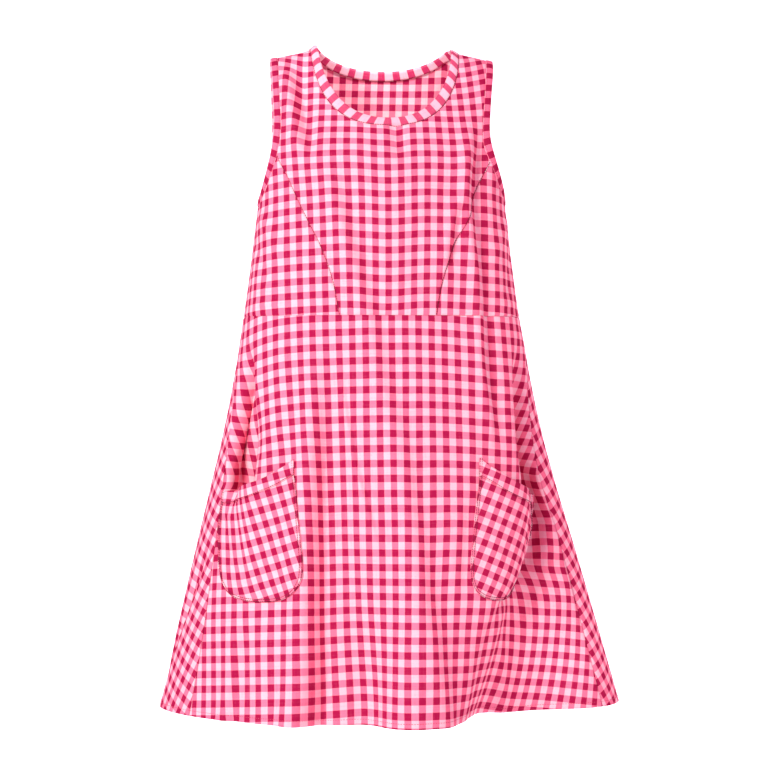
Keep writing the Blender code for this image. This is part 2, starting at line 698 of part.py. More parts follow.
def make_skirt():
    """The front and the back of the skirt, each from waist seam to hem."""
    falls = np.concatenate([[HALF_GAP / SKIRT_LENGTH], np.linspace(0.0, 1.0, SKIRT_ROWS)[1:]])
    front_rows = []
    back_rows = []
    for fall in falls:
        right = float(glide(SIDE_SEAMS, "fall", "right_angle", fall))
        left = float(glide(SIDE_SEAMS, "fall", "left_angle", fall))
        right_room = seam_room(right, fall)
        left_room = seam_room(left, fall)
        front = even_angles(fall, right + right_room, left - left_room, FRONT_SKIRT_COLUMNS)
        back = even_angles(fall, left + left_room, right + 360.0 - right_room, BACK_SKIRT_COLUMNS)
        front_rows.append(skirt_point(front, fall))
        back_rows.append(skirt_point(back, fall))
    for name, rows in (("front_skirt", front_rows), ("back_skirt", back_rows)):
        points, faces = loft(rows)
        make_piece(name, points, faces, CLOTH, PINK, away_from_body)


def angle_across(across, down):
    """The angle of the place on the smooth skirt that lies a length across from the centre front, at a drop."""
    fine = np.linspace(0.0, POCKET_FURTHEST_ANGLE * np.sign(across), 300)
    points = skirt_point(fine, np.full_like(fine, down / SKIRT_LENGTH), dips=False)
    lengths = np.concatenate([[0.0], np.cumsum(np.linalg.norm(np.diff(points, axis=0), axis=1))])
    return float(np.interp(abs(across), lengths, fine))


def skirt_outward(angle, fall):
    """The direction straight out of the smooth skirt."""
    by_angle = skirt_point(angle + 0.5, fall, dips=False) - skirt_point(angle - 0.5, fall, dips=False)
    by_fall = skirt_point(angle, fall + 0.01, dips=False) - skirt_point(angle, fall - 0.01, dips=False)
    normal = np.cross(by_fall, by_angle)
    return normal / np.linalg.norm(normal)


def edge_distance(outline, across, down):
    """How far a place on a pocket is from the pocket's stitched edge."""
    starts = outline[:-1]
    spans = outline[1:] - starts
    place = np.array((across, down))
    along = np.clip(((place - starts) * spans).sum(1) / (spans**2).sum(1), 0.0, 1.0)
    return float(np.hypot(*(starts + spans * along[:, None] - place).T).min())


def pocket_place(side, edge, mouth, across, down):
    """The point of a pocket's cloth that covers a place on the skirt; side is 1 on the left."""
    fall = down / SKIRT_LENGTH
    angle = angle_across(side * across, down)
    stitched = np.array(
        [(mouth[0].across, mouth[0].top)]
        + [(point.across, point.down) for point in edge]
        + [(mouth[-1].across, mouth[-1].top)]
    )
    distance = edge_distance(stitched, across, down)
    seam = float(glide(mouth, "across", "seam", across))
    along = np.clip((across - mouth[0].across) / (mouth[-1].across - mouth[0].across), 0.0, 1.0)
    gape = POCKET_GAPE * np.sin(np.pi * along) * np.exp(-abs(down - seam) / POCKET_GAPE_DEPTH)
    lift = POCKET_LIFT + POCKET_PUFF * ease(distance / POCKET_PUFF_WIDTH) + gape
    return skirt_point(angle, fall, dips=False) + skirt_outward(angle, fall) * lift


def make_pockets():
    """The two patch pockets and the bands sewn along their mouths."""
    for side_name, side, edge, mouth in (
        ("right", -1, RIGHT_POCKET_EDGE, RIGHT_POCKET_MOUTH),
        ("left", 1, LEFT_POCKET_EDGE, LEFT_POCKET_MOUTH),
    ):
        ends = np.linspace(mouth[0].across, mouth[-1].across, POCKET_BAND_STEPS)
        seams = glide(mouth, "across", "seam", ends)
        outline = [(across, down + HALF_GAP) for across, down in zip(ends[::-1], seams[::-1])]
        outline += [(point.across, point.down) for point in edge]
        columns = np.arange(min(point[0] for point in outline), max(point[0] for point in outline), POCKET_STEP)
        rows = np.arange(mouth[0].seam, max(point[1] for point in outline), POCKET_STEP)
        flat, faces = cut_cloth(outline, columns, rows, POCKET_STEP * LATTICE_CLEAR)
        points = [pocket_place(side, edge, mouth, across, down) for across, down in flat]
        make_piece(f"pocket_{side_name}", points, faces, CLOTH, PINK, away_from_body)

        seams = seams - HALF_GAP
        tops = glide(mouth, "across", "top", ends)
        lines = []
        for share in (0.0, 0.5, 1.0):
            downs = seams + (tops - seams) * share
            lines.append([pocket_place(side, edge, mouth, across, down) for across, down in zip(ends, downs)])
        points, faces = loft(lines)
        make_piece(f"pocket_band_{side_name}", points, faces, POCKET_BAND_CLOTH, DEEP_PINK, away_from_body)


for old in list(bpy.data.objects):
    bpy.data.objects.remove(old, do_unlink=True)
DRESS = bpy.data.collections.new("a_line_dress")
bpy.context.scene.collection.children.link(DRESS)

make_bodice()
make_neck_binding()
make_armhole_bands()
make_skirt()
make_pockets()
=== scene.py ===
"""The looks of a sleeveless A-line dress in pink gingham cotton, worn out to its full shape.

Every piece of cloth is a thin shell on the form that its solid has: the bodice's level rings, closed over the
shoulders, and the skirt's level rings with their folds.

A place on the bodice is (turn, path) and a place on the skirt is (angle, fall). Both have a chart, which gives the
same place as lengths: how far round from the centre front, and how far down.
"""

import logging
import math
from collections.abc import Callable, Sequence
from dataclasses import dataclass, field
from enum import Enum

import bpy
import numpy as np
from mathutils.geometry import delaunay_2d_cdt
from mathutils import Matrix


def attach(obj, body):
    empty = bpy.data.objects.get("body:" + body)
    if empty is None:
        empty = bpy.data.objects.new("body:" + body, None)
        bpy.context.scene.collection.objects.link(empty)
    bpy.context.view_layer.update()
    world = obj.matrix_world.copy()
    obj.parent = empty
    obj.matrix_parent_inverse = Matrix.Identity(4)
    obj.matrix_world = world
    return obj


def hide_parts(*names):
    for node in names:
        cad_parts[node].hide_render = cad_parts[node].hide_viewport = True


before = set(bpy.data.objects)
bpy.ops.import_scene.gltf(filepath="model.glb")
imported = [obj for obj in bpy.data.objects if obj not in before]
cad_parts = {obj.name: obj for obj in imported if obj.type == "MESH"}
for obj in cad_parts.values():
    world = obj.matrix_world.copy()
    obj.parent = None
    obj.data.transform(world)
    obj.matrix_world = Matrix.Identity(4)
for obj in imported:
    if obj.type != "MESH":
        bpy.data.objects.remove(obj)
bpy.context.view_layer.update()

LOG = logging.getLogger("dress")

# Heights, as drops below the origin, and the seams' gap
UNDERARM_DROP = 0.2185
WAIST_DROP = 0.388
HEM_DROP = 0.950
SKIRT_LENGTH = HEM_DROP - WAIST_DROP
SEAM_GAP = 0.0003
HALF_GAP = SEAM_GAP / 2
CLOTH = 0.0008

# Millimetres in a metre, the least number to divide by, and how upright a normal counts as one of the shoulders'
MM = 1000.0
TINY = 1e-12
UPRIGHT = 0.93

# The least share of its cut that a piece may fill, and the least side of a cut
LEAST_FILL = 0.301
LEAST_CUT = 0.0105

# The lip behind a seam: where its way in is read, and how far down and in its two rows of points lie
LIP_LOOK = 0.002
LIP_SHARES = (0.35, 1.0)
LIP_START = 0.0004
LIP_SLANT = 0.0003

# Outlines: metres to a turn on the bodice, points that count as one, and how little a line bends at no corner
RING_UNIT = 0.25
SAME = 1e-5
STRAIGHT = 0.93

Array = np.ndarray
Curve = tuple[Array, Array]
Form = Callable[[Array, Array], Array]
Faces = list[tuple[int, ...]]
Colour = tuple[float, float, float]
Place = tuple[float, float, float]
Pairs = tuple[tuple[float, float], ...]
Socket = bpy.types.NodeSocket


class Side(Enum):
    """The wearer's side."""

    LEFT = 1
    RIGHT = -1


class Face(Enum):
    """Front or back of the dress."""

    FRONT = 1
    BACK = -1


class Held(Enum):
    """How a piece of cloth is held."""

    HUNG = "hung"
    LAID = "laid"
    STRETCHED = "stretched"


def ease(share: Array | float) -> Array:
    """0 below 0, 1 above 1, and a smooth step between."""
    share = np.clip(share, 0.0, 1.0)
    return share * share * (3 - 2 * share)


def bump(distance: Array, width: float) -> Array:
    """1 at no distance, fading to 0 over about twice the width."""
    return np.exp(-((distance / width) ** 2))


def run_lengths(points: Array) -> Array:
    """The length run from the first point to each point of a line."""
    steps = np.linalg.norm(np.diff(points, axis=0), axis=-1)
    return np.concatenate([[0.0], np.cumsum(steps)])


def unit(vectors: Array) -> Array:
    """The directions of vectors, of length 1."""
    return vectors / np.maximum(np.linalg.norm(vectors, axis=-1, keepdims=True), TINY)


def read_line(points: Array, at: Array) -> Array:
    """A line's points at lengths along it."""
    runs = run_lengths(points)
    return np.stack([np.interp(at, runs, column) for column in points.T], axis=-1)


def metres(columns: int, *sizes: float) -> tuple[tuple[float, ...], ...]:
    """Rows of sizes in metres, from one run of millimetres."""
    return tuple(tuple(row) for row in (np.array(sizes) / MM).reshape(-1, columns).tolist())


def new_object(name: str, data: bpy.types.ID) -> bpy.types.Object:
    """An object of this data in the scene."""
    made = bpy.data.objects.new(name, data)
    bpy.context.scene.collection.objects.link(made)
    return made


def twice_area(x: Array, y: Array) -> float:
    """Twice the area inside a closed line, positive when it runs round to the left."""
    return np.dot(x, np.roll(y, -1)) - np.dot(y, np.roll(x, -1))


def line_distance(line: Array, places: Array) -> tuple[Array, Array, Array]:
    """How near places lie to a line of straight runs.

    Args:
        line: the line's corners, n by 2.
        places: the places, m by 2.

    Returns:
        The distance to the line, the share of the line's length at its nearest point, and the side as 1 or -1.
    """
    starts = line[:-1]
    spans = line[1:] - starts
    lengths = np.maximum((spans**2).sum(1), 1e-12)
    along = run_lengths(line)
    best = np.full(len(places), 1e9)
    share = np.zeros(len(places))
    hand = np.ones(len(places))
    for index in range(len(starts)):
        off = places - starts[index]
        t = np.clip(off @ spans[index] / lengths[index], 0.0, 1.0)
        gap = off - t[:, None] * spans[index]
        distance = np.hypot(gap[:, 0], gap[:, 1])
        nearer = distance < best
        best = np.where(nearer, distance, best)
        here = (along[index] + t * math.sqrt(lengths[index])) / along[-1]
        share = np.where(nearer, here, share)
        cross = spans[index][0] * off[:, 1] - spans[index][1] * off[:, 0]
        hand = np.where(nearer, np.where(cross < 0, -1.0, 1.0), hand)
    return best, share, hand


@dataclass(frozen=True)
class SizeTable:
    """Sizes in rows, read smoothly between the rows.

    The first column is the one that the rows are looked up by.
    """

    columns: tuple[str, ...]
    rows: tuple[tuple[float, ...], ...]

    def at(self, column: str, key: Array | float) -> Array:
        """The column's size where the first column has the number `key`.

        Args:
            column: the name of the column to read.
            key: where to read it, in the first column's unit.

        Returns:
            The sizes, as many as the keys.
        """
        table = np.array(self.rows)
        keys = table[:, 0]
        values = table[:, self.columns.index(column)]
        slopes = np.gradient(values, keys)
        key = np.clip(np.asarray(key, float), keys[0], keys[-1])
        low = np.clip(np.searchsorted(keys, key, side="right") - 1, 0, len(keys) - 2)
        step = keys[low + 1] - keys[low]
        t = (key - keys[low]) / step
        return (
            (1 + 2 * t) * (1 - t) ** 2 * values[low]
            + t * (1 - t) ** 2 * step * slopes[low]
            + t * t * (3 - 2 * t) * values[low + 1]
            + t * t * (t - 1) * step * slopes[low + 1]
        )


@dataclass(frozen=True)
class Ditch:
    """The hollow along a seam and the swell behind it, by the distance to the seam."""

    depth: float
    width: float
    swell: float = 0.0
    swell_at: float = 0.0
    swell_width: float = 1.0

    def lift(self, distance: Array) -> Array:
        """How far the cloth lies above its even surface."""
        return self.swell * bump(distance - self.swell_at, self.swell_width) - self.depth * bump(distance, self.width)


class Shape(Enum):
    """The section across a crease: a ridge (a trough, with a negative reach), or a step down to its left side."""

    RIDGE = 1
    STEP = 2


RIDGE = Shape.RIDGE
STEP = Shape.STEP


@dataclass(frozen=True)
class Crease:
    """A soft crease in hanging cloth, along a line of places on a chart; its sizes are in millimetres.

    The line is across, down, across, down and so on. The reach and the width go from their first to their last sizes
    along it, and the crease fades in and out over the shares `start` and `end` of its length.
    """

    line: tuple[float, ...]
    width: float
    reach: float
    reach_end: float | None = None
    shape: Shape = RIDGE
    start: float = 0.25
    end: float = 0.25
    width_end: float | None = None
    step_lift: float = 2.33

    def lift(self, places: Array) -> Array:
        """How far the crease lifts the cloth, or lowers it, at places on the chart.

        Args:
            places: (across, down) of each place, n by 2.

        Returns:
            The lift in metres, one for each place.
        """
        corners = np.array(self.line).reshape(-1, 2) / MM
        distance, share, hand = line_distance(smooth_line(corners, 5 * len(corners)), places)
        faded = ease(share / max(self.start, 1e-3)) * ease((1 - share) / max(self.end, 1e-3))
        last = self.reach if self.reach_end is None else self.reach_end
        wide = self.width if self.width_end is None else self.width_end
        reach = (self.reach + (last - self.reach) * share) / MM * faded
        across = distance * MM / (self.width + (wide - self.width) * share)
        if self.shape is STEP:
            reach = reach * hand * across * self.step_lift
        return reach * bump(across, 1.0)


def smooth_line(corners: Array, steps: int) -> Array:
    """A smooth line through corners.

    Args:
        corners: the corners, n by 2.
        steps: how many points to give.

    Returns:
        The line's points.
    """
    knots = run_lengths(corners)
    table = SizeTable(("at", "across", "down"), tuple((k, *c) for k, c in zip(knots, corners)))
    fine = np.linspace(0.0, knots[-1], steps)
    return np.stack([table.at("across", fine), table.at("down", fine)], axis=1)


# ---------------------------------------------------------------- the two forms


@dataclass(frozen=True)
class BodiceForm:
    """The bodice's form: level rings from the shoulder ridge down to the waist seam."""

    rings: SizeTable = SizeTable(
        ("path", "drop", "half_width", "front", "back", "front_round", "back_round"),
        (
            (0.000, 0.0000, 0.1870, 0.0000, 0.0000, 0.45, 0.45),
            (0.015, 0.0032, 0.1870, 0.0150, 0.0148, 0.45, 0.45),
            (0.030, 0.0125, 0.1868, 0.0285, 0.0285, 0.46, 0.46),
            (0.050, 0.0290, 0.1860, 0.0430, 0.0420, 0.48, 0.48),
            (0.080, 0.0555, 0.1845, 0.0590, 0.0580, 0.52, 0.52),
            (0.120, 0.0935, 0.1820, 0.0740, 0.0750, 0.58, 0.56),
            (0.165, 0.1360, 0.1795, 0.0900, 0.0880, 0.64, 0.60),
            (0.210, 0.1785, 0.1778, 0.1040, 0.0970, 0.70, 0.64),
            (0.250, 0.2175, 0.1772, 0.1135, 0.1010, 0.74, 0.66),
            (0.290, 0.2570, 0.1815, 0.1190, 0.1020, 0.77, 0.68),
            (0.335, 0.3020, 0.1868, 0.1212, 0.1020, 0.79, 0.70),
            (0.421, 0.3880, 0.1985, 0.1220, 0.1030, 0.80, 0.72),
        ),
    )
    neck_width: float = 0.107
    shoulder_fall: float = 0.215
    neck_climb: float = 0.60
    neck_point_drop: float = 0.0044
    neck_climb_width: float = 0.011
    ridge_fade: float = 0.10
    climb_sharpness: float = 300.0
    last_turn: float = 0.985
    look_steps: tuple[float, float] = (0.012, 0.003)

    def ridge(self, across: Array) -> Array:
        """Height of the shoulder ridge at a distance from the centre."""
        beyond = np.maximum(np.abs(across) - self.neck_width, -self.neck_climb_width)
        climb = np.log1p(np.exp(-self.climb_sharpness * beyond)) / self.climb_sharpness
        return -self.neck_point_drop - self.shoulder_fall * beyond + self.neck_climb * climb

    def point(self, turn: Array, path: Array) -> Array:
        """The point at (turn, path).

        Args:
            turn: -1 at the right side seam, 0 at the centre, 1 at the left side seam.
            path: the way down the cloth from the shoulder ridge, negative on the front.

        Returns:
            x, y and z, along the last axis.
        """
        turn, path = np.broadcast_arrays(turn, path)
        size = {name: self.rings.at(name, np.abs(path)) for name in self.rings.columns[1:]}
        angle = turn * np.pi / 2
        across = size["half_width"] * np.sin(angle)
        inward = np.clip(np.cos(angle), 0.0, 1.0)
        front, back = (size[word] * inward ** size[f"{word}_round"] for word in ("front", "back"))
        height = self.ridge(across) * (1 - ease(np.abs(path) / self.ridge_fade)) - size["drop"]
        return np.stack([across, np.where(path < 0, -front, back), height], axis=-1)

    def outward(self, turn: Array, path: Array) -> Array:
        """The direction straight out of the cloth at (turn, path)."""
        return outward_of(self.point, np.clip(turn, -self.last_turn, self.last_turn), path, *self.look_steps)

    def turn_at(self, across: Array | float, path: Array | float) -> Array:
        """The turn at a distance from the centre, on the ring of a path."""
        half_width = self.rings.at("half_width", np.abs(path))
        return np.arcsin(np.clip(across / half_width, -1.0, 1.0)) * 2 / np.pi

    def path_at_drop(self, drop: Array | float) -> Array:
        """The path of the ring at a drop, below the shoulders' slope."""
        paths = np.linspace(0.0, self.rings.rows[-1][0], 400)
        return np.interp(drop, self.rings.at("drop", paths), paths)


def outward_of(form: Form, first: Array, second: Array, first_step: float, second_step: float) -> Array:
    """The direction straight out of a form, away from the body.

    Args:
        form: gives the point at a place.
        first: the place's first number.
        second: the place's second number.
        first_step: how far to look to either side along the first.
        second_step: how far to look to either side along the second.

    Returns:
        Directions of length 1, along the last axis.
    """
    by_first = form(first + first_step, second) - form(first - first_step, second)
    by_second = form(first, second + second_step) - form(first, second - second_step)
    normal = unit(np.cross(by_second, by_first))
    away = (normal * form(first, second))[..., :2].sum(-1)
    away = np.where(np.abs(normal[..., 2]) > UPRIGHT, normal[..., 2], away)
    return normal * np.where(away < 0, -1.0, 1.0)[..., None]


def two_sided(off: Array, right: Array | float, left: Array | float) -> Array:
    """1 at no angle off, fading to 0 over one width to the right and another to the left, in degrees."""
    off = (off + 180.0) % 360.0 - 180.0
    return bump(off, np.where(off < 0, right, left))


@dataclass(frozen=True)
class Fold:
    """A fold of the skirt, from where it starts down to the hem; angles are in degrees."""

    start: float
    angle_start: float
    angle_mid: float
    angle_hem: float
    right_width: float
    left_width: float
    reach_mid: float
    reach_hem: float
    top_spread: float = 0.55

    def reach(self, angle: Array, fall: Array) -> Array:
        """How far the fold stands out of the ring at (angle, fall)."""
        share = np.clip((fall - self.start) / (1 - self.start), 0.0, 1.0)
        early, mid, late = (1 - share) * (1 - 2 * share), 4 * (1 - share) * share, share * (2 * share - 1)
        middle = self.angle_start * early + self.angle_mid * mid + self.angle_hem * late
        swell = self.reach_mid * mid + self.reach_hem * late
        swell = np.where(share < 0.5, self.reach_mid * ease(2 * share), swell)
        spread = self.top_spread + (1 - self.top_spread) * share
        return swell * two_sided(angle - middle, self.right_width * spread, self.left_width * spread)


@dataclass(frozen=True)
class Dip:
    """Where the skirt falls in behind an open pocket mouth; angles are in degrees."""

    angle_start: float
    angle_deep: float
    right_width: float
    left_width: float
    start: float
    deep: float
    end: float
    reach: float

    def depth(self, angle: Array, fall: Array) -> Array:
        """How far the skirt falls in at (angle, fall)."""
        rising = ease((fall - self.start) / (self.deep - self.start))
        leaving = 1 - ease((fall - self.deep) / (self.end - self.deep))
        middle = self.angle_start + (self.angle_deep - self.angle_start) * rising
        return self.reach * rising * leaving * two_sided(angle - middle, self.right_width, self.left_width)


@dataclass(frozen=True)
class SkirtForm:
    """The skirt's form: level rings from the waist seam to the hem, with folds and dips on them."""

    rings: SizeTable = SizeTable(
        ("fall", "half_width", "front", "back", "front_round", "back_round", "shift_x", "shift_y"),
        (
            (0.00, 0.1985, 0.122, 0.103, 0.80, 0.72, 0.000, 0.000),
            (0.15, 0.2140, 0.133, 0.108, 0.83, 0.76, 0.002, 0.003),
            (0.30, 0.2325, 0.146, 0.113, 0.86, 0.80, 0.004, 0.007),
            (0.45, 0.2545, 0.162, 0.118, 0.90, 0.84, 0.006, 0.013),
            (0.60, 0.2775, 0.179, 0.124, 0.94, 0.88, 0.009, 0.019),
            (0.80, 0.3075, 0.202, 0.131, 1.00, 0.94, 0.013, 0.027),
            (1.00, 0.3380, 0.225, 0.138, 1.08, 1.00, 0.016, 0.035),
        ),
    )
    side_seams: SizeTable = SizeTable(
        ("fall", "right_angle", "left_angle"),
        (
            (0.00, -90.0, 86.0),
            (0.15, -83.0, 77.0),
            (0.34, -73.0, 73.0),
            (0.60, -65.0, 72.0),
            (0.85, -61.0, 70.0),
            (1.00, -60.0, 68.5),
        ),
    )
    folds: tuple[Fold, ...] = (
        Fold(0.00, -30.0, -28.0, -26.0, 10.0, 8.0, 0.004, 0.004),
        Fold(0.00, -22.0, -16.0, -9.0, 6.0, 7.0, -0.006, -0.026),
        Fold(0.00, 0.0, 6.0, -1.0, 7.0, 10.0, 0.008, 0.030),
        Fold(0.05, 74.0, 56.0, 35.0, 14.0, 24.0, -0.032, -0.100),
        Fold(0.10, -118.0, -122.0, -126.0, 13.0, 13.0, 0.008, 0.018),
        Fold(0.10, -140.0, -144.0, -149.0, 11.0, 11.0, -0.010, -0.022),
        Fold(0.15, 178.0, 178.0, 176.0, 12.0, 12.0, 0.008, 0.016),
        Fold(0.12, 152.0, 149.0, 147.0, 10.0, 12.0, -0.009, -0.020),
        Fold(0.08, 126.0, 123.0, 121.0, 12.0, 11.0, 0.006, 0.015),
    )
    dips: tuple[Dip, ...] = (
        Dip(-62.0, -57.0, 6.0, 5.5, 0.10, 0.36, 0.66, -0.026),
        Dip(68.0, 61.0, 5.5, 6.0, 0.08, 0.36, 0.66, -0.025),
    )
    look_steps: tuple[float, float] = (0.5, 0.004)

    def point(self, angle: Array, fall: Array, dips: bool = True) -> Array:
        """The point at (angle, fall).

        Args:
            angle: degrees round from the centre front, positive towards the wearer's left.
            fall: 0 at the waist seam, 1 at the hem.
            dips: whether the dips behind the pocket mouths are in.

        Returns:
            x, y and z, along the last axis.
        """
        angle, fall = np.broadcast_arrays(angle, fall)
        size = {name: self.rings.at(name, fall) for name in self.rings.columns[1:]}
        sine, cosine = np.sin(np.radians(angle)), np.cos(np.radians(angle))
        front = cosine > 0
        reach = np.where(front, size["front"], size["back"])
        power = np.where(front, size["front_round"], size["back_round"])
        depth = np.where(front, -1.0, 1.0) * reach * np.abs(cosine) ** power
        out_x, out_y = sine / size["half_width"], -cosine / reach
        out = sum(fold.reach(angle, fall) for fold in self.folds)
        if dips:
            out = out + sum(dip.depth(angle, fall) for dip in self.dips)
        out = out / np.hypot(out_x, out_y)
        x = size["shift_x"] + size["half_width"] * sine + out * out_x
        y = size["shift_y"] + depth + out * out_y
        return np.stack([x, y, -WAIST_DROP - SKIRT_LENGTH * fall], axis=-1)

    def smooth_point(self, angle: Array, fall: Array) -> Array:
        """The point at (angle, fall) without the dips."""
        return self.point(angle, fall, dips=False)

    def outward(self, angle: Array, fall: Array, dips: bool = True) -> Array:
        """The direction straight out of the cloth at (angle, fall)."""
        return outward_of(self.point if dips else self.smooth_point, angle, fall, *self.look_steps)


@dataclass
class Chart:
    """Lengths on a form: how far round from its centre line, on level rings, for a place's first number.

    The form gives the points, and firsts and seconds are the numbers of the table's places.
    """

    form: Form
    firsts: Array
    seconds: Array
    arcs: Array = field(init=False)

    def __post_init__(self) -> None:
        """Measures the table's places."""
        points = self.form(*np.meshgrid(self.firsts, self.seconds, indexing="ij"))
        arcs = np.stack([run_lengths(line) for line in points.swapaxes(0, 1)], axis=1)
        self.arcs = arcs - arcs[int(np.argmin(np.abs(self.firsts)))]

    @staticmethod
    def share(table: Array, key: Array) -> tuple[Array, Array]:
        """The step of a table that a key lies in, and how far along that step."""
        low = np.clip(np.searchsorted(table, key) - 1, 0, len(table) - 2)
        return low, np.clip((key - table[low]) / (table[low + 1] - table[low]), 0.0, 1.0)

    def across(self, first: Array, second: Array) -> Array:
        """How far round from the centre line a place is.

        Args:
            first: the places' first numbers.
            second: their second numbers.

        Returns:
            Lengths, negative towards the wearer's right.
        """
        first, second = np.broadcast_arrays(np.asarray(first, float), np.asarray(second, float))
        i, s = self.share(self.firsts, first)
        j, t = self.share(self.seconds, second)
        low = self.arcs[i, j] * (1 - s) + self.arcs[i + 1, j] * s
        high = self.arcs[i, j + 1] * (1 - s) + self.arcs[i + 1, j + 1] * s
        return low * (1 - t) + high * t

    def first_at(self, across: float, second: float) -> float:
        """The first number of the place a length round from the centre line, on the ring of the second."""
        j = float(np.interp(second, self.seconds, np.arange(len(self.seconds))))
        low = min(int(j), len(self.seconds) - 2)
        arcs = self.arcs[:, low] * (low + 1 - j) + self.arcs[:, low + 1] * (j - low)
        return float(np.interp(across, arcs, self.firsts))


@dataclass(frozen=True)
class Drift:
    """A place where the hanging cloth has eased its threads along a little, fading out round it.

    It is given on the flat cloth, with how wide and how high it is; `power` is 2 for a soft hill and more for a flat
    one with a steeper edge.
    """

    across: float
    down: float
    width: float
    height: float
    shift_across: float
    shift_down: float
    power: float = 2.0

    def weight(self, flat: Array) -> Array:
        """How much of the drift reaches each place, 0 to 1."""
        across = np.abs((flat[:, 0] - self.across) / self.width) ** self.power
        return np.exp(-across - ((flat[:, 1] - self.down) / self.height) ** 2)


@dataclass(frozen=True)
class Grain:
    """How the check lies on a piece: where a dark column and a dark row cross it, how it is turned and where eased."""

    across: float = 0.0
    down: float = 0.0
    turned: float = 0.0
    stretch_across: float = 1.0
    stretch_down: float = 1.0
    drifts: tuple[Drift, ...] = ()

    def laid(self, flat: Array) -> Array:
        """Flat cloth coordinates with the grain's turn, stretch and start.

        Args:
            flat: (across, down) on the flat cloth, n by 2.
        """
        turn = math.radians(self.turned)
        across = flat[:, 0] * math.cos(turn) + flat[:, 1] * math.sin(turn)
        down = flat[:, 1] * math.cos(turn) - flat[:, 0] * math.sin(turn)
        for drift in self.drifts:
            weight = drift.weight(flat)
            across = across - weight * drift.shift_across
            down = down - weight * drift.shift_down
        return np.stack([(across - self.across) / self.stretch_across, (down - self.down) / self.stretch_down], axis=1)


class Unrolled:
    DEGREE = 6
    ROUNDS = 14
    LEAST_WEIGHT = 0.05

    def __init__(self, form: Form, firsts: Array, seconds: Array, centre: float, zero: float) -> None:
        """Unrolls the patch.

        Args:
            form: gives the point at a place.
            firsts: the patch's first numbers, in order; the columns of its net.
            seconds: the patch's second numbers, from the top row down.
            centre: the first number of the line that stays upright.
            zero: the second number of the line where "down" is 0.
        """
        self.ranges = [(float(numbers.min()), float(numbers.max())) for numbers in (firsts, seconds)]
        first, second = np.meshgrid(firsts, seconds, indexing="xy")
        points = form(first, second)
        middle = int(np.argmin(np.abs(firsts - centre)))
        start = self._start(points, middle)
        flat = self._relax(points, start)
        net = flat.reshape(*points.shape[:2], 2)
        way = net[-1, middle] - net[0, middle]
        turn = math.atan2(way[0], way[1])
        spin = np.array([[math.cos(turn), math.sin(turn)], [-math.sin(turn), math.cos(turn)]])
        flat = (flat - net[int(np.argmin(np.abs(seconds - zero))), middle]) @ spin
        start[:, 1] = 0.0
        self.terms = np.linalg.lstsq(self._powers(first.ravel(), second.ravel()), flat - start, rcond=None)[0]

    @staticmethod
    def _start(points: Array, centre: int) -> Array:
        """A first guess: lengths along the rows, and lengths down the centre line."""
        rows = np.array([run_lengths(row) for row in points])
        down = run_lengths(points[:, centre])[:, None]
        return np.stack(np.broadcast_arrays(rows - rows[:, centre, None], down), axis=-1).reshape(-1, 2)

    def _relax(self, points: Array, flat: Array) -> Array:
        """Moves the flat net until its triangles have nearly the shapes that they have on the form."""
        height, width = points.shape[:2]
        corners = np.arange(height * width).reshape(height, width)
        a, b = corners[:-1, :-1].ravel(), corners[:-1, 1:].ravel()
        c, d = corners[1:, 1:].ravel(), corners[1:, :-1].ravel()
        triangles = np.concatenate([np.stack([a, b, c], 1), np.stack([a, c, d], 1)])
        solid = points.reshape(-1, 3)[triangles]
        side, other = solid[:, 1] - solid[:, 0], solid[:, 2] - solid[:, 0]
        base = np.linalg.norm(side, axis=1)
        along = (side * other).sum(1) / base
        off = np.sqrt(np.maximum((other**2).sum(1) - along**2, 1e-14))
        shape = np.stack([np.zeros_like(base), base, along + 1j * off], 1)
        matrix = np.zeros((height * width, height * width))
        edges = []
        for k in range(3):
            after, far = (k + 1) % 3, (k + 2) % 3
            corner = (shape[:, k] - shape[:, far]).conj() * (shape[:, after] - shape[:, far])
            weight = np.maximum(corner.real / np.maximum(np.abs(corner.imag), TINY), self.LEAST_WEIGHT)
            start, end = triangles[:, k], triangles[:, after]
            edges.append((start, end, weight * (shape[:, k] - shape[:, after])))
            for one, two in ((start, end), (end, start)):
                np.add.at(matrix, (one, one), weight)
                np.add.at(matrix, (one, two), -weight)
        matrix[0, 0] += 1.0
        solver = np.linalg.inv(matrix)
        net = flat[:, 0] + 1j * flat[:, 1]
        for _ in range(self.ROUNDS):
            spread = sum((net[start] - net[end]) * pull.conj() for start, end, pull in edges)
            target = np.zeros(len(net), complex)
            for start, end, pull in edges:
                turned = pull * np.exp(1j * np.angle(spread))
                np.add.at(target, start, turned)
                np.add.at(target, end, -turned)
            target[0] += net[0]
            net = solver @ target
        return np.stack([net.real, net.imag], axis=1)

    def _powers(self, first: Array, second: Array) -> Array:
        """The smooth fit's terms at places."""
        at = [(2 * here - low - high) / (high - low) for here, (low, high) in zip((first, second), self.ranges)]
        return np.polynomial.chebyshev.chebvander2d(*at, [self.DEGREE + 2, self.DEGREE])

    def flat(self, first: Array, second: Array, arcs: Array) -> Array:
        """The flat cloth's (across, down) at places on the form.

        Args:
            first: the places' first numbers.
            second: their second numbers.
            arcs: how far round from the centre line they are.

        Returns:
            n by 2 lengths.
        """
        flat = self._powers(np.asarray(first, float), np.asarray(second, float)) @ self.terms
        flat[:, 0] += arcs
        return flat


# ---------------------------------------------------------------- finishes


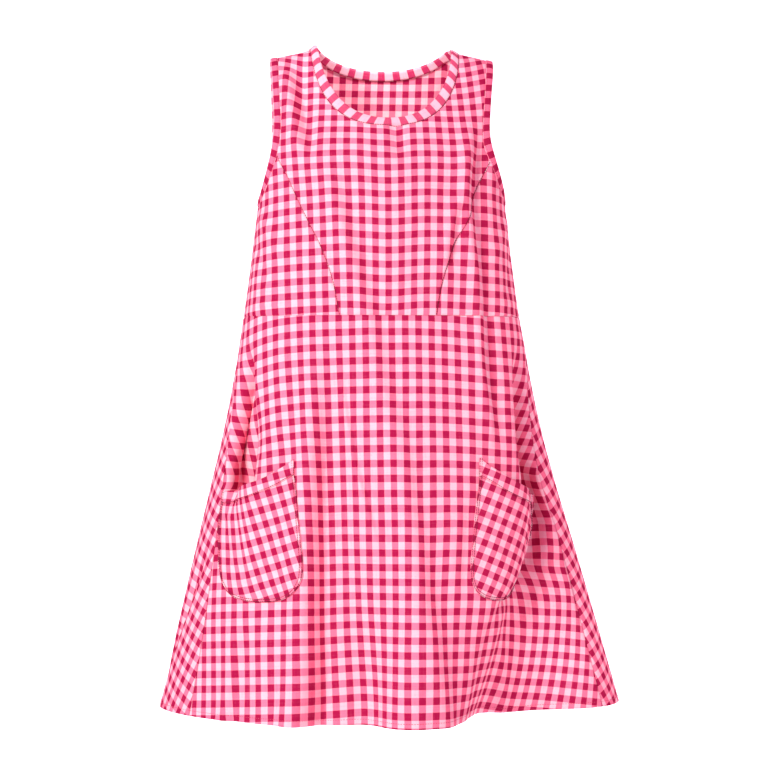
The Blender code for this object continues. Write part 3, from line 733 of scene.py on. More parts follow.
class Nodes:
    """Puts nodes into a shader tree, in a few short calls."""

    def __init__(self, tree: bpy.types.NodeTree) -> None:
        """Starts with this tree."""
        self.tree = tree

    def put(self, value: object, socket: Socket) -> None:
        """Feeds a number, a colour or another node's output to a socket."""
        if isinstance(value, Socket):
            self.tree.links.new(value, socket)
        else:
            socket.default_value = (*value, 1.0) if socket.type == "RGBA" and isinstance(value, tuple) else value

    def node(self, kind: str, inputs: dict[str | int, object], **settings: object) -> bpy.types.Node:
        """A node.

        Args:
            kind: its type, as Blender names it after ShaderNode.
            inputs: what its inputs take, as numbers, colours or outputs.
            settings: its own settings.

        Returns:
            The node.
        """
        node = self.tree.nodes.new(f"ShaderNode{kind}")
        for setting, value in settings.items():
            setattr(node, setting, value)
        for name, value in inputs.items():
            self.put(value, node.inputs[name])
        return node

    def maths(self, operation: str, *values: object, clamp: bool = False) -> Socket:
        """The result of a Math node, which may stay between 0 and 1."""
        return self.node("Math", dict(enumerate(values)), operation=operation, use_clamp=clamp).outputs[0]

    def plus(self, first: object, second: object, clamp: bool = False) -> Socket:
        """A sum."""
        return self.maths("ADD", first, second, clamp=clamp)

    def minus(self, first: object, second: object) -> Socket:
        """A difference."""
        return self.maths("SUBTRACT", first, second)

    def times(self, first: object, second: object, clamp: bool = False) -> Socket:
        """A product."""
        return self.maths("MULTIPLY", first, second, clamp=clamp)

    def blend(self, share: object, first: object, second: object) -> Socket:
        """A colour between two colours."""
        inputs = {"Factor": share, "A": first, "B": second}
        return self.node("Mix", inputs, data_type="RGBA").outputs["Result"]

    def noise(self, place: Socket, scale: float, detail: float = 2.0) -> Socket:
        """Soft noise at a place."""
        return self.node("TexNoise", {"Vector": place, "Scale": scale, "Detail": detail}).outputs["Fac"]

    def stretched(self, place: Socket, scale: Place) -> Socket:
        """A place with its numbers multiplied."""
        return self.node("VectorMath", {0: place, 1: scale}, operation="MULTIPLY").outputs[0]

    def map_range(self, value: object, low: object, high: object) -> Socket:
        """0 at low, 1 at high, and a smooth step between."""
        inputs = {"Value": value, "From Min": low, "From Max": high}
        return self.node("MapRange", inputs, interpolation_type="SMOOTHSTEP").outputs["Result"]

    def raised(self, height: Socket, strength: float, distance: float) -> Socket:
        """The normal of a surface that is raised by a height."""
        inputs = {"Height": height, "Strength": strength, "Distance": distance}
        return self.node("Bump", inputs).outputs["Normal"]

    def object_place(self) -> Socket:
        """The place on the object."""
        return self.node("TexCoord", {}).outputs["Object"]


def material_of(name: str, look: Callable[[Nodes], dict[str, object]]) -> bpy.types.Material:
    """A material, made once.

    Args:
        name: its name.
        look: puts its nodes in and gives what the Principled node's inputs take.

    Returns:
        The material of this name.
    """
    made = bpy.data.materials.get(name)
    if not made:
        made = bpy.data.materials.new(name)
        made.use_nodes = True
        make = Nodes(made.node_tree)
        shader = made.node_tree.nodes["Principled BSDF"]
        for socket, value in look(make).items():
            make.put(value, shader.inputs[socket])
    return made


@dataclass(frozen=True)
class GinghamColours:
    """The cloth's colours, as linear red, green and blue."""

    deep: Colour = (0.390, 0.011, 0.068)
    column_pink: Colour = (0.950, 0.195, 0.310)
    row_pink: Colour = (0.950, 0.235, 0.350)
    pale: Colour = (0.980, 0.650, 0.660)


@dataclass(frozen=True)
class GinghamFinish:
    """A woven gingham: its period, colours and threads."""

    name: str
    colours: GinghamColours = GinghamColours()
    column_period: float = 0.0186
    row_period: float = 0.0203
    stripe_share: float = 0.50
    thread: float = 0.00055
    thread_contrast: float = 0.30
    slub: float = 0.30
    bump_strength: float = 0.35
    bump_distance: float = 0.0003
    roughness: float = 0.90
    specular: float = 0.03

    def look(self, make: Nodes) -> dict[str, object]:
        """The finish's nodes.

        Args:
            make: puts nodes into the material.

        Returns:
            What the Principled node's inputs take.
        """
        inputs = {"Place": make.node("UVMap", {}, uv_map=CLOTH_MAP).outputs["UV"]}
        for holder, names in ((self, WEAVE_SIZES), (self.colours, WEAVE_COLOURS)):
            inputs |= {name: getattr(holder, name.lower().replace(" ", "_")) for name in names}
        check = make.node("Group", inputs, node_tree=gingham_group())
        return {
            "Base Color": check.outputs["Colour"],
            "Roughness": check.outputs["Rough"],
            "Normal": make.raised(check.outputs["Height"], self.bump_strength, self.bump_distance),
            "Specular IOR Level": self.specular,
        }


@dataclass(frozen=True)
class ThreadFinish:
    """Sewing thread of one colour with its twist."""

    name: str
    colour: Colour
    dark: Colour
    roughness: float = 0.6
    twist: float = 900.0
    bump_strength: float = 0.3
    bump_distance: float = 0.0002

    def look(self, make: Nodes) -> dict[str, object]:
        """The finish's nodes.

        Args:
            make: puts nodes into the material.

        Returns:
            What the Principled node's inputs take.
        """
        twist = make.noise(make.object_place(), self.twist)
        return {
            "Base Color": make.blend(twist, self.dark, self.colour),
            "Normal": make.raised(twist, self.bump_strength, self.bump_distance),
            "Roughness": self.roughness,
        }


CLOTH_MAP = "Cloth"
WEAVE_SIZES = ("Column Period", "Row Period", "Stripe Share", "Thread", "Thread Contrast", "Slub", "Roughness")
WEAVE_COLOURS = ("Deep", "Column Pink", "Row Pink", "Pale")

# How far threads wander and over what noise, the softness of a stripe's edge, the share of the single threads'
# colours in the cloth's, and the noise of the slubs
WANDER = 0.0007
WANDER_SCALE = 260.0
STRIPE_EDGE = 0.018
THREAD_SHARE = 0.16
SLUB_SCALE = 380.0
BODY_CLOTH = GinghamFinish("gingham_body")
TRIM_CLOTH = GinghamFinish(
    "gingham_binding",
    colours=GinghamColours(
        deep=(0.540, 0.036, 0.120), column_pink=(0.540, 0.036, 0.120), row_pink=(0.980, 0.560, 0.600),
        pale=(0.980, 0.560, 0.600),
    ),
    column_period=0.0222,
    row_period=0.0600,
    stripe_share=0.46,
)
PINK_THREAD = ThreadFinish("thread_pink", (0.62, 0.055, 0.14), (0.44, 0.025, 0.085))
# Deep raspberry thread; along the princess and neck seams its dark rows also stand in for the seams' shadow lines, as
# painted shade
DEEP_THREAD_AND_SEAM_SHADE = ThreadFinish("thread_deep", (0.19, 0.004, 0.034), (0.12, 0.003, 0.022))


def gingham_group() -> bpy.types.NodeTree:
    """The woven check as a node group, made once.

    Returns:
        The group: its place is flat cloth coordinates in metres; its outputs are colour, roughness and height.
    """
    name = "gingham_weave"
    if name in bpy.data.node_groups:
        return bpy.data.node_groups[name]
    tree = bpy.data.node_groups.new(name, "ShaderNodeTree")
    start = tree.nodes.new("NodeGroupInput")
    end = tree.nodes.new("NodeGroupOutput")
    make = Nodes(tree)
    for kind, names in (("Vector", ("Place",)), ("Float", WEAVE_SIZES), ("Color", WEAVE_COLOURS)):
        for socket in names:
            tree.interface.new_socket(name=socket, in_out="INPUT", socket_type=f"NodeSocket{kind}")
    for socket, kind in (("Colour", "Color"), ("Rough", "Float"), ("Height", "Float")):
        tree.interface.new_socket(name=socket, in_out="OUTPUT", socket_type=f"NodeSocket{kind}")
    given = start.outputs
    place = given["Place"]
    apart = make.node("SeparateXYZ", {"Vector": place}).outputs
    shift = make.times(make.minus(make.noise(place, WANDER_SCALE), 0.5), WANDER)

    def stripes(at: Socket, period: Socket) -> Socket:
        """1 on a dark stripe, 0 between; a dark stripe is centred on 0."""
        share = make.maths("DIVIDE", at, period)
        off = make.maths("ABSOLUTE", make.minus(share, make.maths("ROUND", share)))
        half = make.times(given["Stripe Share"], 0.5)
        low, high = make.minus(half, STRIPE_EDGE), make.plus(half, STRIPE_EDGE)
        return make.minus(1.0, make.map_range(off, low, high))

    def wave(at: Socket) -> Socket:
        """The rise and fall of the threads."""
        return make.maths("SINE", make.times(make.maths("DIVIDE", at, given["Thread"]), math.pi))

    u, v = make.plus(apart["X"], shift), make.plus(apart["Y"], shift)
    column, row = stripes(u, given["Column Period"]), stripes(v, given["Row Period"])
    over = make.times(wave(u), wave(v))
    top = make.plus(make.times(over, given["Thread Contrast"]), 0.5, clamp=True)
    warp, weft = (make.blend(yarn, given["Pale"], given["Deep"]) for yarn in (column, row))
    plain_columns = make.blend(column, given["Pale"], given["Column Pink"])
    plain_rows = make.blend(column, given["Row Pink"], given["Deep"])
    mixed = make.blend(THREAD_SHARE, make.blend(row, plain_columns, plain_rows), make.blend(top, warp, weft))
    slubs = [make.noise(make.stretched(place, way), SLUB_SCALE, 1.0) for way in ((1.0, 0.05, 1.0), (0.05, 1.0, 1.0))]
    slub = make.times(make.plus(*slubs), 0.5)
    light = make.times(make.minus(slub, 0.5), given["Slub"])
    washed = make.blend(make.times(light, 1.2, clamp=True), mixed, given["Row Pink"])
    finished = make.blend(make.times(light, -2.5, clamp=True), washed, given["Deep"])
    rough = make.plus(given["Roughness"], make.times(light, 0.4), clamp=True)
    height = make.plus(over, make.times(slub, 1.2))
    for socket, value in (("Colour", finished), ("Rough", rough), ("Height", height)):
        make.put(value, end.inputs[socket])
    return tree


# ---------------------------------------------------------------- pieces of cloth


@dataclass
class Cloth:
    """Cloth being made: its points, their flat cloth coordinates, and its faces."""

    points: Array
    flat: Array
    faces: Faces

    def lipped(self, edge: Sequence[int], inward: Array, outward: Array, depth: float = 0.0012) -> None:
        """Turns an edge in behind the seam, as the seam allowance does.

        Args:
            edge: the corners along the edge, in order.
            inward: for each, the way along the cloth away from the seam.
            outward: for each, the direction straight out of the cloth.
            depth: how far the allowance reaches in.
        """
        edge = list(edge)
        last = edge
        inward = unit(inward)
        for share in LIP_SHARES:
            start = len(self.points)
            ring = self.points[edge] + inward * (LIP_START + LIP_SLANT * share) - outward * (depth * share)
            self.points = np.concatenate([self.points, ring])
            self.flat = np.concatenate([self.flat, self.flat[edge]])
            fresh = list(range(start, start + len(ring)))
            self.faces += list(zip(last[:-1], last[1:], fresh[1:], fresh[:-1]))
            last = fresh

    def area(self) -> float:
        """The area of its faces on the flat cloth, in square metres."""
        total = 0.0
        for face in self.faces:
            x, y = self.flat[list(face)].T
            total += abs(twice_area(x, y)) / 2
        return total


@dataclass(frozen=True)
class PieceSpec:
    """What a piece of cloth is called, stands for, rests on, is made of and is held by."""

    name: str
    stands_for: str
    rests_on: tuple[str, ...]
    finish: GinghamFinish = BODY_CLOTH
    slot: str = "gingham"
    held: Held = Held.HUNG
    thickness: float = CLOTH


def make_piece(spec: PieceSpec, cloth: Cloth, grain: Grain, cut: tuple[float, float], area: float) -> None:
    """Args:
        spec: the piece's name, finish and so on.
        cloth: its points and faces.
        grain: how the check lies on it.
        cut: width and length of the flat cut.
        area: the cut's flat area.
    """
    mesh = bpy.data.meshes.new(spec.name)
    mesh.from_pydata(cloth.points.tolist(), [], [tuple(int(c) for c in face) for face in cloth.faces])
    corners = np.zeros(len(mesh.loops), np.int32)
    mesh.loops.foreach_get("vertex_index", corners)
    layer = mesh.uv_layers.new(name=CLOTH_MAP)
    layer.data.foreach_set("uv", grain.laid(cloth.flat)[corners].astype(np.float32).ravel())
    turn_outward(mesh)
    mesh.shade_smooth()
    piece = new_object(spec.name, mesh)
    mesh.materials.append(material_of(spec.finish.name, spec.finish.look))
    wall = piece.modifiers.new("cloth", "SOLIDIFY")
    wall.thickness = spec.thickness
    wall.offset = -1.0
    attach(piece, "root")
    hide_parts(spec.stands_for)
    width, length = cut
    area = min(max(area, LEAST_FILL * width * length), width * length)
    list(spec.rests_on)
    LOG.info("%s: %d faces, cut %.3f x %.3f m, %.4f m2", spec.name, len(mesh.polygons), width, length, area)


def turn_outward(mesh: bpy.types.Mesh) -> None:
    """Turns a piece's faces away from the body, all the same way round."""
    count = len(mesh.polygons)
    normals, centres, areas = np.zeros(count * 3), np.zeros(count * 3), np.zeros(count)
    for name, values in (("normal", normals), ("center", centres), ("area", areas)):
        mesh.polygons.foreach_get(name, values)
    level_parts = (normals * centres).reshape(-1, 3)[:, :2]
    if (level_parts.sum(1) * areas).sum() < 0:
        mesh.flip_normals()


def cut_size(flat: Array) -> tuple[float, float]:
    """Width and length of the flat cloth that a piece is cut from."""
    width, length = np.ptp(flat, axis=0)
    return float(max(width, LEAST_CUT)), float(max(length, LEAST_CUT))


@dataclass(frozen=True)
class Stitch:
    """A machine stitch: its length, the gap to the next, half its thickness, and (share, size, rise) along it."""

    length: float = 0.0030
    gap: float = 0.0004
    # Thicker than sewing thread, so that a dark row along a seam also paints the seam's shadow line
    half: float = 0.0005
    first: float = 0.12
    look_ahead: float = 0.001
    profile: tuple[Place, ...] = ((0.0, 0.35, -0.5), (0.25, 1.0, 0.55), (0.75, 1.0, 0.55), (1.0, 0.35, -0.5))

    def row(self, points: Array, outward: Array) -> Array:
        """The points of a row of stitches along a line on the cloth.

        Args:
            points: the line, n by 3.
            outward: the direction straight out of the cloth along it.

        Returns:
            The points, by stitch, ring and corner.
        """
        runs = run_lengths(points)
        count = max(int(runs[-1] / (self.length + self.gap)), 1)
        share, size, rise = np.array(self.profile).T
        at = ((np.arange(count) + self.first) * (runs[-1] / count))[:, None] + share * self.length
        out = np.stack([np.interp(at, runs, column) for column in outward.T], axis=-1)
        way = unit(read_line(points, at + self.look_ahead) - read_line(points, at - self.look_ahead))
        turns = np.arange(3)[:, None] * math.pi * 2 / 3
        round_way = out[..., None, :] * np.cos(turns) + np.cross(way, out)[..., None, :] * np.sin(turns)
        centre = read_line(points, at) + out * self.half * rise[:, None]
        return centre[..., None, :] + round_way * self.half * size[:, None, None]


def make_stitches(name: str, rows: Sequence[Curve], finish: ThreadFinish, stitch: Stitch = Stitch()) -> None:
    """Rows of stitches as one object.

    Args:
        name: the object's name.
        rows: for each row, the points of its line and the direction out of the cloth along it.
        finish: the thread.
        stitch: the stitch.
    """
    points = np.concatenate([stitch.row(*row) for row in rows])
    here = np.arange(points[..., 0].size).reshape(points.shape[:-1])
    after = np.roll(here, -1, axis=2)
    faces = np.stack([here[:, :-1], after[:, :-1], after[:, 1:], here[:, 1:]], axis=-1).reshape(-1, 4)
    mesh = bpy.data.meshes.new(name)
    mesh.from_pydata(points.reshape(-1, 3).tolist(), [], faces.tolist())
    mesh.shade_smooth()
    piece = new_object(name, mesh)
    mesh.materials.append(material_of(finish.name, finish.look))
    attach(piece, "root")
    LOG.info("%s: %d faces", name, len(faces))


# ---------------------------------------------------------------- the bodice


@dataclass(frozen=True)
class NeckLine:
    """A line round the neck on the bodice's form."""

    width: float
    front: float
    back: float
    squareness: float
    shift: float = 0.003
    back_squareness: float = 2.1
    seam_path: float = -0.010

    def curve(self, form: BodiceForm, angle: Array) -> Curve:
        """(turn, path) at angles round the neck: 0 is the left shoulder, 90 degrees the centre front."""
        power = np.where(np.sin(angle) > 0, 2 / self.squareness, 2 / self.back_squareness)
        across = self.shift + self.width * np.sign(np.cos(angle)) * np.abs(np.cos(angle)) ** power
        reach = np.where(np.sin(angle) > 0, -self.front, self.back)
        path = reach * np.abs(np.sin(angle)) ** power
        return form.turn_at(across, path), path

    def half(self, form: BodiceForm, face: Face, steps: int) -> Curve:
        """(turn, path) from the left shoulder seam to the right one, over the front or the back.

        Args:
            form: the bodice's form.
            face: front or back.
            steps: how many places.

        Returns:
            The line.
        """
        start = float(np.arcsin((-self.seam_path / self.front) ** (self.squareness / 2)))
        end = np.pi - start if face is Face.FRONT else -np.pi - start
        even = np.linspace(0.0, 1.0, steps)
        closer = even * 0.5 + (1 - np.cos(np.pi * even)) * 0.25
        turns, paths = self.curve(form, start + (end - start) * closer)
        ends = self.seam_path - face.value * HALF_GAP
        return turns, np.concatenate([[ends], paths[1:-1], [ends]])


@dataclass(frozen=True)
class Armhole:
    """The edge of one armhole on the bodice's form."""

    side: Side
    hollow: float
    width: float = 0.1610
    skew: float = 1.6
    front_bend: float = 0.130
    back_bend: float = 0.150
    band: float = 0.0097

    def curve(self, form: BodiceForm, margin: float, face: Face, steps: Array) -> Curve:
        """(turn, path) down the front or back of the armhole.

        Args:
            form: the bodice's form.
            margin: how far from the armhole's edge.
            face: front or back.
            steps: places down it: 0 is the ridge, 1 the bend, 2 the underarm.

        Returns:
            The line.
        """
        bend = self.front_bend if face is Face.FRONT else self.back_bend
        lowest = float(form.path_at_drop(UNDERARM_DROP)) + margin
        angles = np.clip(steps - 1.0, 0.0, 1.0) * np.pi / 2
        falls = np.minimum(steps, 1.0) * bend + (lowest - bend) * np.sin(angles)
        pull = 1 - np.cos(angles)
        cut_in = self.hollow * np.sin(np.pi * np.clip(falls / lowest, 0.0, 1.0) ** self.skew)
        edge = form.turn_at(self.width - cut_in - margin, falls)
        turns = self.side.value * (edge + (1 - edge) * pull)
        return turns, -face.value * falls


@dataclass
class Bodice:
    """The bodice: three front panels, the back panel and their creases."""

    form: BodiceForm = field(default_factory=BodiceForm)
    neck_seam: NeckLine = NeckLine(0.107, 0.147, 0.061, 2.6)
    armholes: dict[Side, Armhole] = field(
        default_factory=lambda: {Side.LEFT: Armhole(Side.LEFT, 0.0110), Side.RIGHT: Armhole(Side.RIGHT, 0.0045)}
    )
    princess: SizeTable = SizeTable(
        ("drop", "from_centre"),
        metres(2, 145, 159, 165, 152, 195, 138, 230, 123.5, 260, 109.5, 290, 95, 320, 83.5, 350, 75.2, 388, 68.5),
    )
    shoulder_path: float = -0.010
    step: float = 0.0030
    rings: Pairs = ((0.0008, 0.00072), (0.0019, 0.0017), (0.0036, 0.0033))
    net: float = 0.0048
    clear: float = 0.0058
    seam: Ditch = Ditch(0.0006, 0.0011, 0.0003, 0.0040, 0.0018)
    surface: float = 0.00070
    side_room: float = 0.015
    side_fade: float = 0.16
    ridge_room: float = 0.012
    ridge_fade: float = 0.03
    stitch_off: float = 0.0010
    stitch_lift: float = 0.0001
    front_creases: tuple[Crease, ...] = (
        Crease((-130, 30, -127, 90, -121, 150, -116, 205), 14, 9, None, STEP, 0.35, 0.25),
        Crease((-146, 50, -139, 110, -136, 150), 9, 2.5),
        Crease((132, 120, 128, 180, 124, 211, 122, 255, 126, 298, 135, 357, 140, 421, 140, 470), 17, 12, 4, STEP, 0.25,
               0.01, 14),
        Crease((108, 245, 95, 300, 83, 365), 9, 5, None, STEP),
        Crease((-125, 290, -105, 330, -96, 375), 8, -2),
        Crease((-78, 190, -66, 255, -56, 295, -41, 350, -29, 390, -19, 421, -5, 470), 17, 8, 4.5, STEP, 0.35, 0.01),
        Crease((30, 290, 42, 350, 50, 405), 14, -1.6, None, RIDGE, 0.3, 0.3),
        Crease((12, 140, 17, 165, 13, 205), 10, -7, None, RIDGE, 0.15, 0.4),
        Crease((-20, 165, -45, 190, -75, 205), 10, 1.4),
        Crease((-215, 270, -180, 300, -150, 350), 10, 2.8),
        Crease((-232, 300, -200, 335, -175, 385), 10, -2.6),
        Crease((218, 275, 185, 305, 160, 350), 10, 2.6),
        Crease((232, 310, 205, 350, 190, 400), 9, -2.4),
        Crease((-215, 412, -175, 404, -140, 410), 6, 1.4),
        Crease((168, 408, 190, 402, 210, 410), 6, 1.2),
    )
    back_creases: tuple[Crease, ...] = (
        Crease((-130, 40, -122, 110, -118, 190), 12, 3),
        Crease((128, 45, 124, 120, 117, 205), 13, 2.8),
        Crease((-145, 150, -120, 215, -90, 260), 12, -3),
        Crease((150, 165, 125, 220, 98, 275), 12, 3, None, STEP),
        Crease((-52, 220, -46, 310, -55, 415), 14, 5, None, STEP, 0.4, 0.4),
        Crease((44, 225, 50, 320, 46, 415), 13, -4, None, RIDGE, 0.4, 0.4),
        Crease((-215, 280, -175, 310, -140, 360), 11, 2.6),
        Crease((214, 270, 178, 300, 145, 345), 11, 2.6),
    )
    side_drifts: tuple[Drift, ...] = (
        Drift(-0.200, -0.060, 0.035, 0.120, -0.009, 0.0),
        Drift(0.165, -0.040, 0.030, 0.100, 0.006, 0.0),
    )
    centre_drifts: tuple[Drift, ...] = (
        Drift(0.000, -0.120, 0.040, 0.300, 0.0, 0.0056),
        Drift(0.000, -0.391, 0.138, 0.120, 0.0, 0.0240, 6.0),
        Drift(-0.110, -0.231, 0.070, 0.050, -0.0040, 0.0),
        Drift(0.110, -0.231, 0.070, 0.050, 0.0035, 0.0),
        Drift(0.120, -0.361, 0.050, 0.050, -0.0050, 0.0),
        Drift(-0.140, -0.361, 0.045, 0.070, 0.0055, 0.0),
    )

    def __post_init__(self) -> None:
        """Measures the form."""
        self.waist_path = float(self.form.path_at_drop(WAIST_DROP - HALF_GAP))
        self.underarm_path = float(self.form.path_at_drop(UNDERARM_DROP))
        turns = np.linspace(-1.0, 1.0, 161)
        paths = np.linspace(-self.waist_path - 0.002, self.waist_path + 0.002, 169)
        self.chart = Chart(self.form.point, turns, paths)
        upper = np.linspace(-0.012, -self.waist_path, 23)
        self.front_flat = Unrolled(self.form.point, np.linspace(-0.95, 0.95, 33), upper, 0.0, -self.waist_path)
        lower = np.linspace(-0.012, self.waist_path, 23)
        self.back_flat = Unrolled(self.form.point, np.linspace(-0.97, 0.97, 33), lower, 0.0, self.waist_path)

    def flat(self, turn: Array, path: Array, face: Face) -> Array:
        """Flat cloth coordinates at places: across from the centre line, and down from the waist seam."""
        unrolled = self.front_flat if face is Face.FRONT else self.back_flat
        return unrolled.flat(turn, path, self.chart.across(turn, path))

    def place(self, turn: Array, path: Array, lift: Array | float = 0.0) -> Array:
        """The finished cloth's point at places, with its creases.

        Args:
            turn: the places' turns.
            path: their paths.
            lift: how far above the cloth.

        Returns:
            n by 3 points.
        """
        places = np.stack([self.chart.across(turn, path), np.abs(path)], axis=-1)
        front = sum(crease.lift(places) for crease in self.front_creases)
        back = sum(crease.lift(places) for crease in self.back_creases)
        off_side = ease((1 - self.side_room - np.abs(turn)) / self.side_fade)
        off_ridge = ease((np.abs(path) - self.ridge_room) / self.ridge_fade)
        total = self.surface + np.where(path < 0, front, back) * off_side * off_ridge + lift
        return self.form.point(turn, path) + self.form.outward(turn, path) * total[..., None]

    def princess_line(self, side: Side, shift: float = 0.0, steps: int = 90) -> Curve:
        """(turn, path) of a princess seam from the waist seam up to the armhole band.

        Args:
            side: which of the two.
            shift: how far to move it towards the wearer's left, in metres.
            steps: how many places.

        Returns:
            The line.
        """
        _, top = self.princess_meeting(side)
        drops = np.linspace(WAIST_DROP - HALF_GAP, top, steps)
        paths = -self.form.path_at_drop(drops)
        turns = side.value * self.form.turn_at(self.princess.at("from_centre", drops), paths)
        reach = self.form.point(turns + 0.002, paths) - self.form.point(turns - 0.002, paths)
        return turns + shift * 0.004 / np.linalg.norm(reach, axis=1), paths

    def princess_meeting(self, side: Side) -> tuple[float, float]:
        """The place down the armhole where the princess seam meets its band, and that place's drop."""
        hole = self.armholes[side]
        steps = np.linspace(0.5, 1.9, 600)
        turns, paths = hole.curve(self.form, hole.band + SEAM_GAP, Face.FRONT, steps)
        drops = self.form.rings.at("drop", -paths)
        seam = self.form.turn_at(self.princess.at("from_centre", drops), paths)
        nearest = int(np.argmin(np.abs(side.value * seam - turns)))
        return float(steps[nearest]), float(drops[nearest])

    def panel(self, spec: PieceSpec, curves: Sequence[Curve], face: Face, grain: Grain) -> None:
        """Cuts and shapes one panel.

        Args:
            spec: the piece's name and so on.
            curves: the lines of its outline in order.
            face: front or back.
            grain: how the check lies on it.
        """
        units = np.array((RING_UNIT, 1.0))
        line = even_outline(joined(*curves) * units, self.step)
        places, faces, distance = net_inside(line, self.rings, self.net, self.clear)
        turn, path = (places / units).T
        cloth = Cloth(self.place(turn, path, self.seam.lift(distance)), self.flat(turn, path, face), faces)
        cut, area = cut_size(cloth.flat), cloth.area()
        inside = self.form.point(*(offset_outline(line, LIP_LOOK) / units).T)
        edge = (line / units).T
        loop = [*range(len(line)), 0]
        cloth.lipped(loop, (inside - self.form.point(*edge))[loop], self.form.outward(*edge)[loop])
        make_piece(spec, cloth, grain, cut, area)

    def build(self) -> None:
        """The four panels."""
        down = np.linspace(self.underarm_path + self.armholes[Side.LEFT].band + SEAM_GAP, self.waist_path, 30)
        inner, upper, behind = {}, {}, {}
        for side in Side:
            hole = self.armholes[side]
            meeting, _ = self.princess_meeting(side)
            margin = hole.band + SEAM_GAP
            first = -self.shoulder_path / hole.front_bend
            upper[side] = hole.curve(self.form, margin, Face.FRONT, np.linspace(first, meeting, 40))
            lower = hole.curve(self.form, margin, Face.FRONT, np.linspace(meeting, 2.0, 40)[1:])
            steps = np.maximum(np.linspace(self.shoulder_path / hole.back_bend, 2.0, 80), 0.0)
            behind[side] = hole.curve(self.form, margin, Face.BACK, steps)
            inner[side] = self.princess_line(side, -side.value * HALF_GAP)
            outer = self.princess_line(side, side.value * HALF_GAP)
            curves = (
                outer,
                lower,
                (np.full_like(down, side.value), -down),
                level(side.value, float(outer[0][0]), -self.waist_path),
            )
            word = side.name.lower()
            spec = PieceSpec(f"bodice_side_panel_{word}", f"front_bodice_side_{word}", ("front_bodice_centre",))
            grain = Grain(
                0.0006 - side.value * 0.002, -0.0134 - side.value * 0.0028, 0.0, 0.985, 0.985, self.side_drifts
            )
            self.panel(spec, curves, Face.FRONT, grain)
        curves = (
            level(float(inner[Side.RIGHT][0][0]), float(inner[Side.LEFT][0][0]), -self.waist_path),
            inner[Side.LEFT],
            backwards(upper[Side.LEFT]),
            self.shoulder(Side.LEFT, Face.FRONT),
            self.neck_seam.half(self.form, Face.FRONT, 120),
            backwards(self.shoulder(Side.RIGHT, Face.FRONT)),
            upper[Side.RIGHT],
            backwards(inner[Side.RIGHT]),
        )
        spec = PieceSpec("bodice_centre_panel", "front_bodice_centre", ("neck_binding_front",))
        self.panel(spec, curves, Face.FRONT, Grain(0.0006, -0.0162, 0.0, 0.975, 0.975, self.centre_drifts))
        curves = (
            level(-1.0, 1.0, self.waist_path, 120),
            (np.ones_like(down), down[::-1]),
            backwards(behind[Side.LEFT]),
            self.shoulder(Side.LEFT, Face.BACK),
            self.neck_seam.half(self.form, Face.BACK, 90),
            backwards(self.shoulder(Side.RIGHT, Face.BACK)),
            behind[Side.RIGHT],
            (-np.ones_like(down), down),
        )
        spec = PieceSpec("bodice_back_panel", "back_bodice", ("neck_binding_back",))
        self.panel(spec, curves, Face.BACK, Grain(0.0025, -0.0108))

    def shoulder(self, side: Side, face: Face, steps: int = 30) -> Curve:
        """(turn, path) along a shoulder seam, from its tip to the neck."""
        hole = self.armholes[side]
        first = np.array([-self.shoulder_path / hole.front_bend])
        tip = hole.curve(self.form, hole.band + SEAM_GAP, Face.FRONT, first)[0][0]
        reach = self.neck_seam.shift + side.value * self.neck_seam.width
        neck = float(self.form.turn_at(reach, self.shoulder_path))
        return np.linspace(tip, neck, steps), np.full(steps, self.shoulder_path - face.value * HALF_GAP)

    def dress(self) -> None:
        """The stitches along the princess seams, dark and close to the seam, so that they also paint its shadow line.
        """
        lines = [self.princess_line(side, -side.value * self.stitch_off, 120) for side in Side]
        rows = [(self.place(*line, self.stitch_lift), self.form.outward(*line)) for line in lines]
        make_stitches("princess_stitches_and_seam_shade", rows, DEEP_THREAD_AND_SEAM_SHADE)


def joined(*curves: Curve) -> Array:
    """One closed outline of several lines end to end, without the points that repeat.

    Args:
        curves: the lines, as (turn, path).

    Returns:
        The outline, n by 2.
    """
    points = np.concatenate([np.stack(curve, axis=1) for curve in curves])
    kept = [points[0]]
    for point in points[1:]:
        if np.hypot(*((point - kept[-1]) * (RING_UNIT, 1.0))) > SAME:
            kept.append(point)
    if np.hypot(*((kept[0] - kept[-1]) * (RING_UNIT, 1.0))) <= SAME:
        kept.pop()
    return np.array(kept)


def backwards(curve: Curve) -> Curve:
    """The same line from its other end."""
    return curve[0][::-1], curve[1][::-1]


def level(start: float, end: float, path: float, steps: int = 60) -> Curve:
    """A level line on the bodice."""
    return np.linspace(start, end, steps), np.full(steps, path)


def even_outline(outline: Array, step: float) -> Array:
    """A closed outline with points about a step apart, its corners kept.

    Args:
        outline: its points in order, n by 2; the last joins the first.
        step: the length between points.

    Returns:
        The outline's new points.
    """
    ways = unit(np.roll(outline, -1, axis=0) - outline)
    bends = (ways * np.roll(ways, 1, axis=0)).sum(1)
    corners = [i for i in range(len(outline)) if bends[i] < STRAIGHT] or [0]
    points = []
    for here, after in zip(corners, corners[1:] + [corners[0] + len(outline)]):
        part = outline[[i % len(outline) for i in range(here, after + 1)]]
        length = run_lengths(part)[-1]
        points.append(read_line(part, np.linspace(0.0, length, max(int(round(length / step)), 1) + 1)[:-1]))
    return np.concatenate(points)


def offset_outline(outline: Array, depth: float) -> Array:
    """A closed outline moved inwards by a depth, point by point."""
    ahead = unit(np.roll(outline, -1, axis=0) - outline)
    mean = (ahead + np.roll(ahead, 1, axis=0)) * (0.5 if twice_area(*outline.T) > 0 else -0.5)
    mean = np.stack([-mean[:, 1], mean[:, 0]], axis=1)
    return outline + mean / np.maximum((mean**2).sum(1, keepdims=True), 0.25) * depth


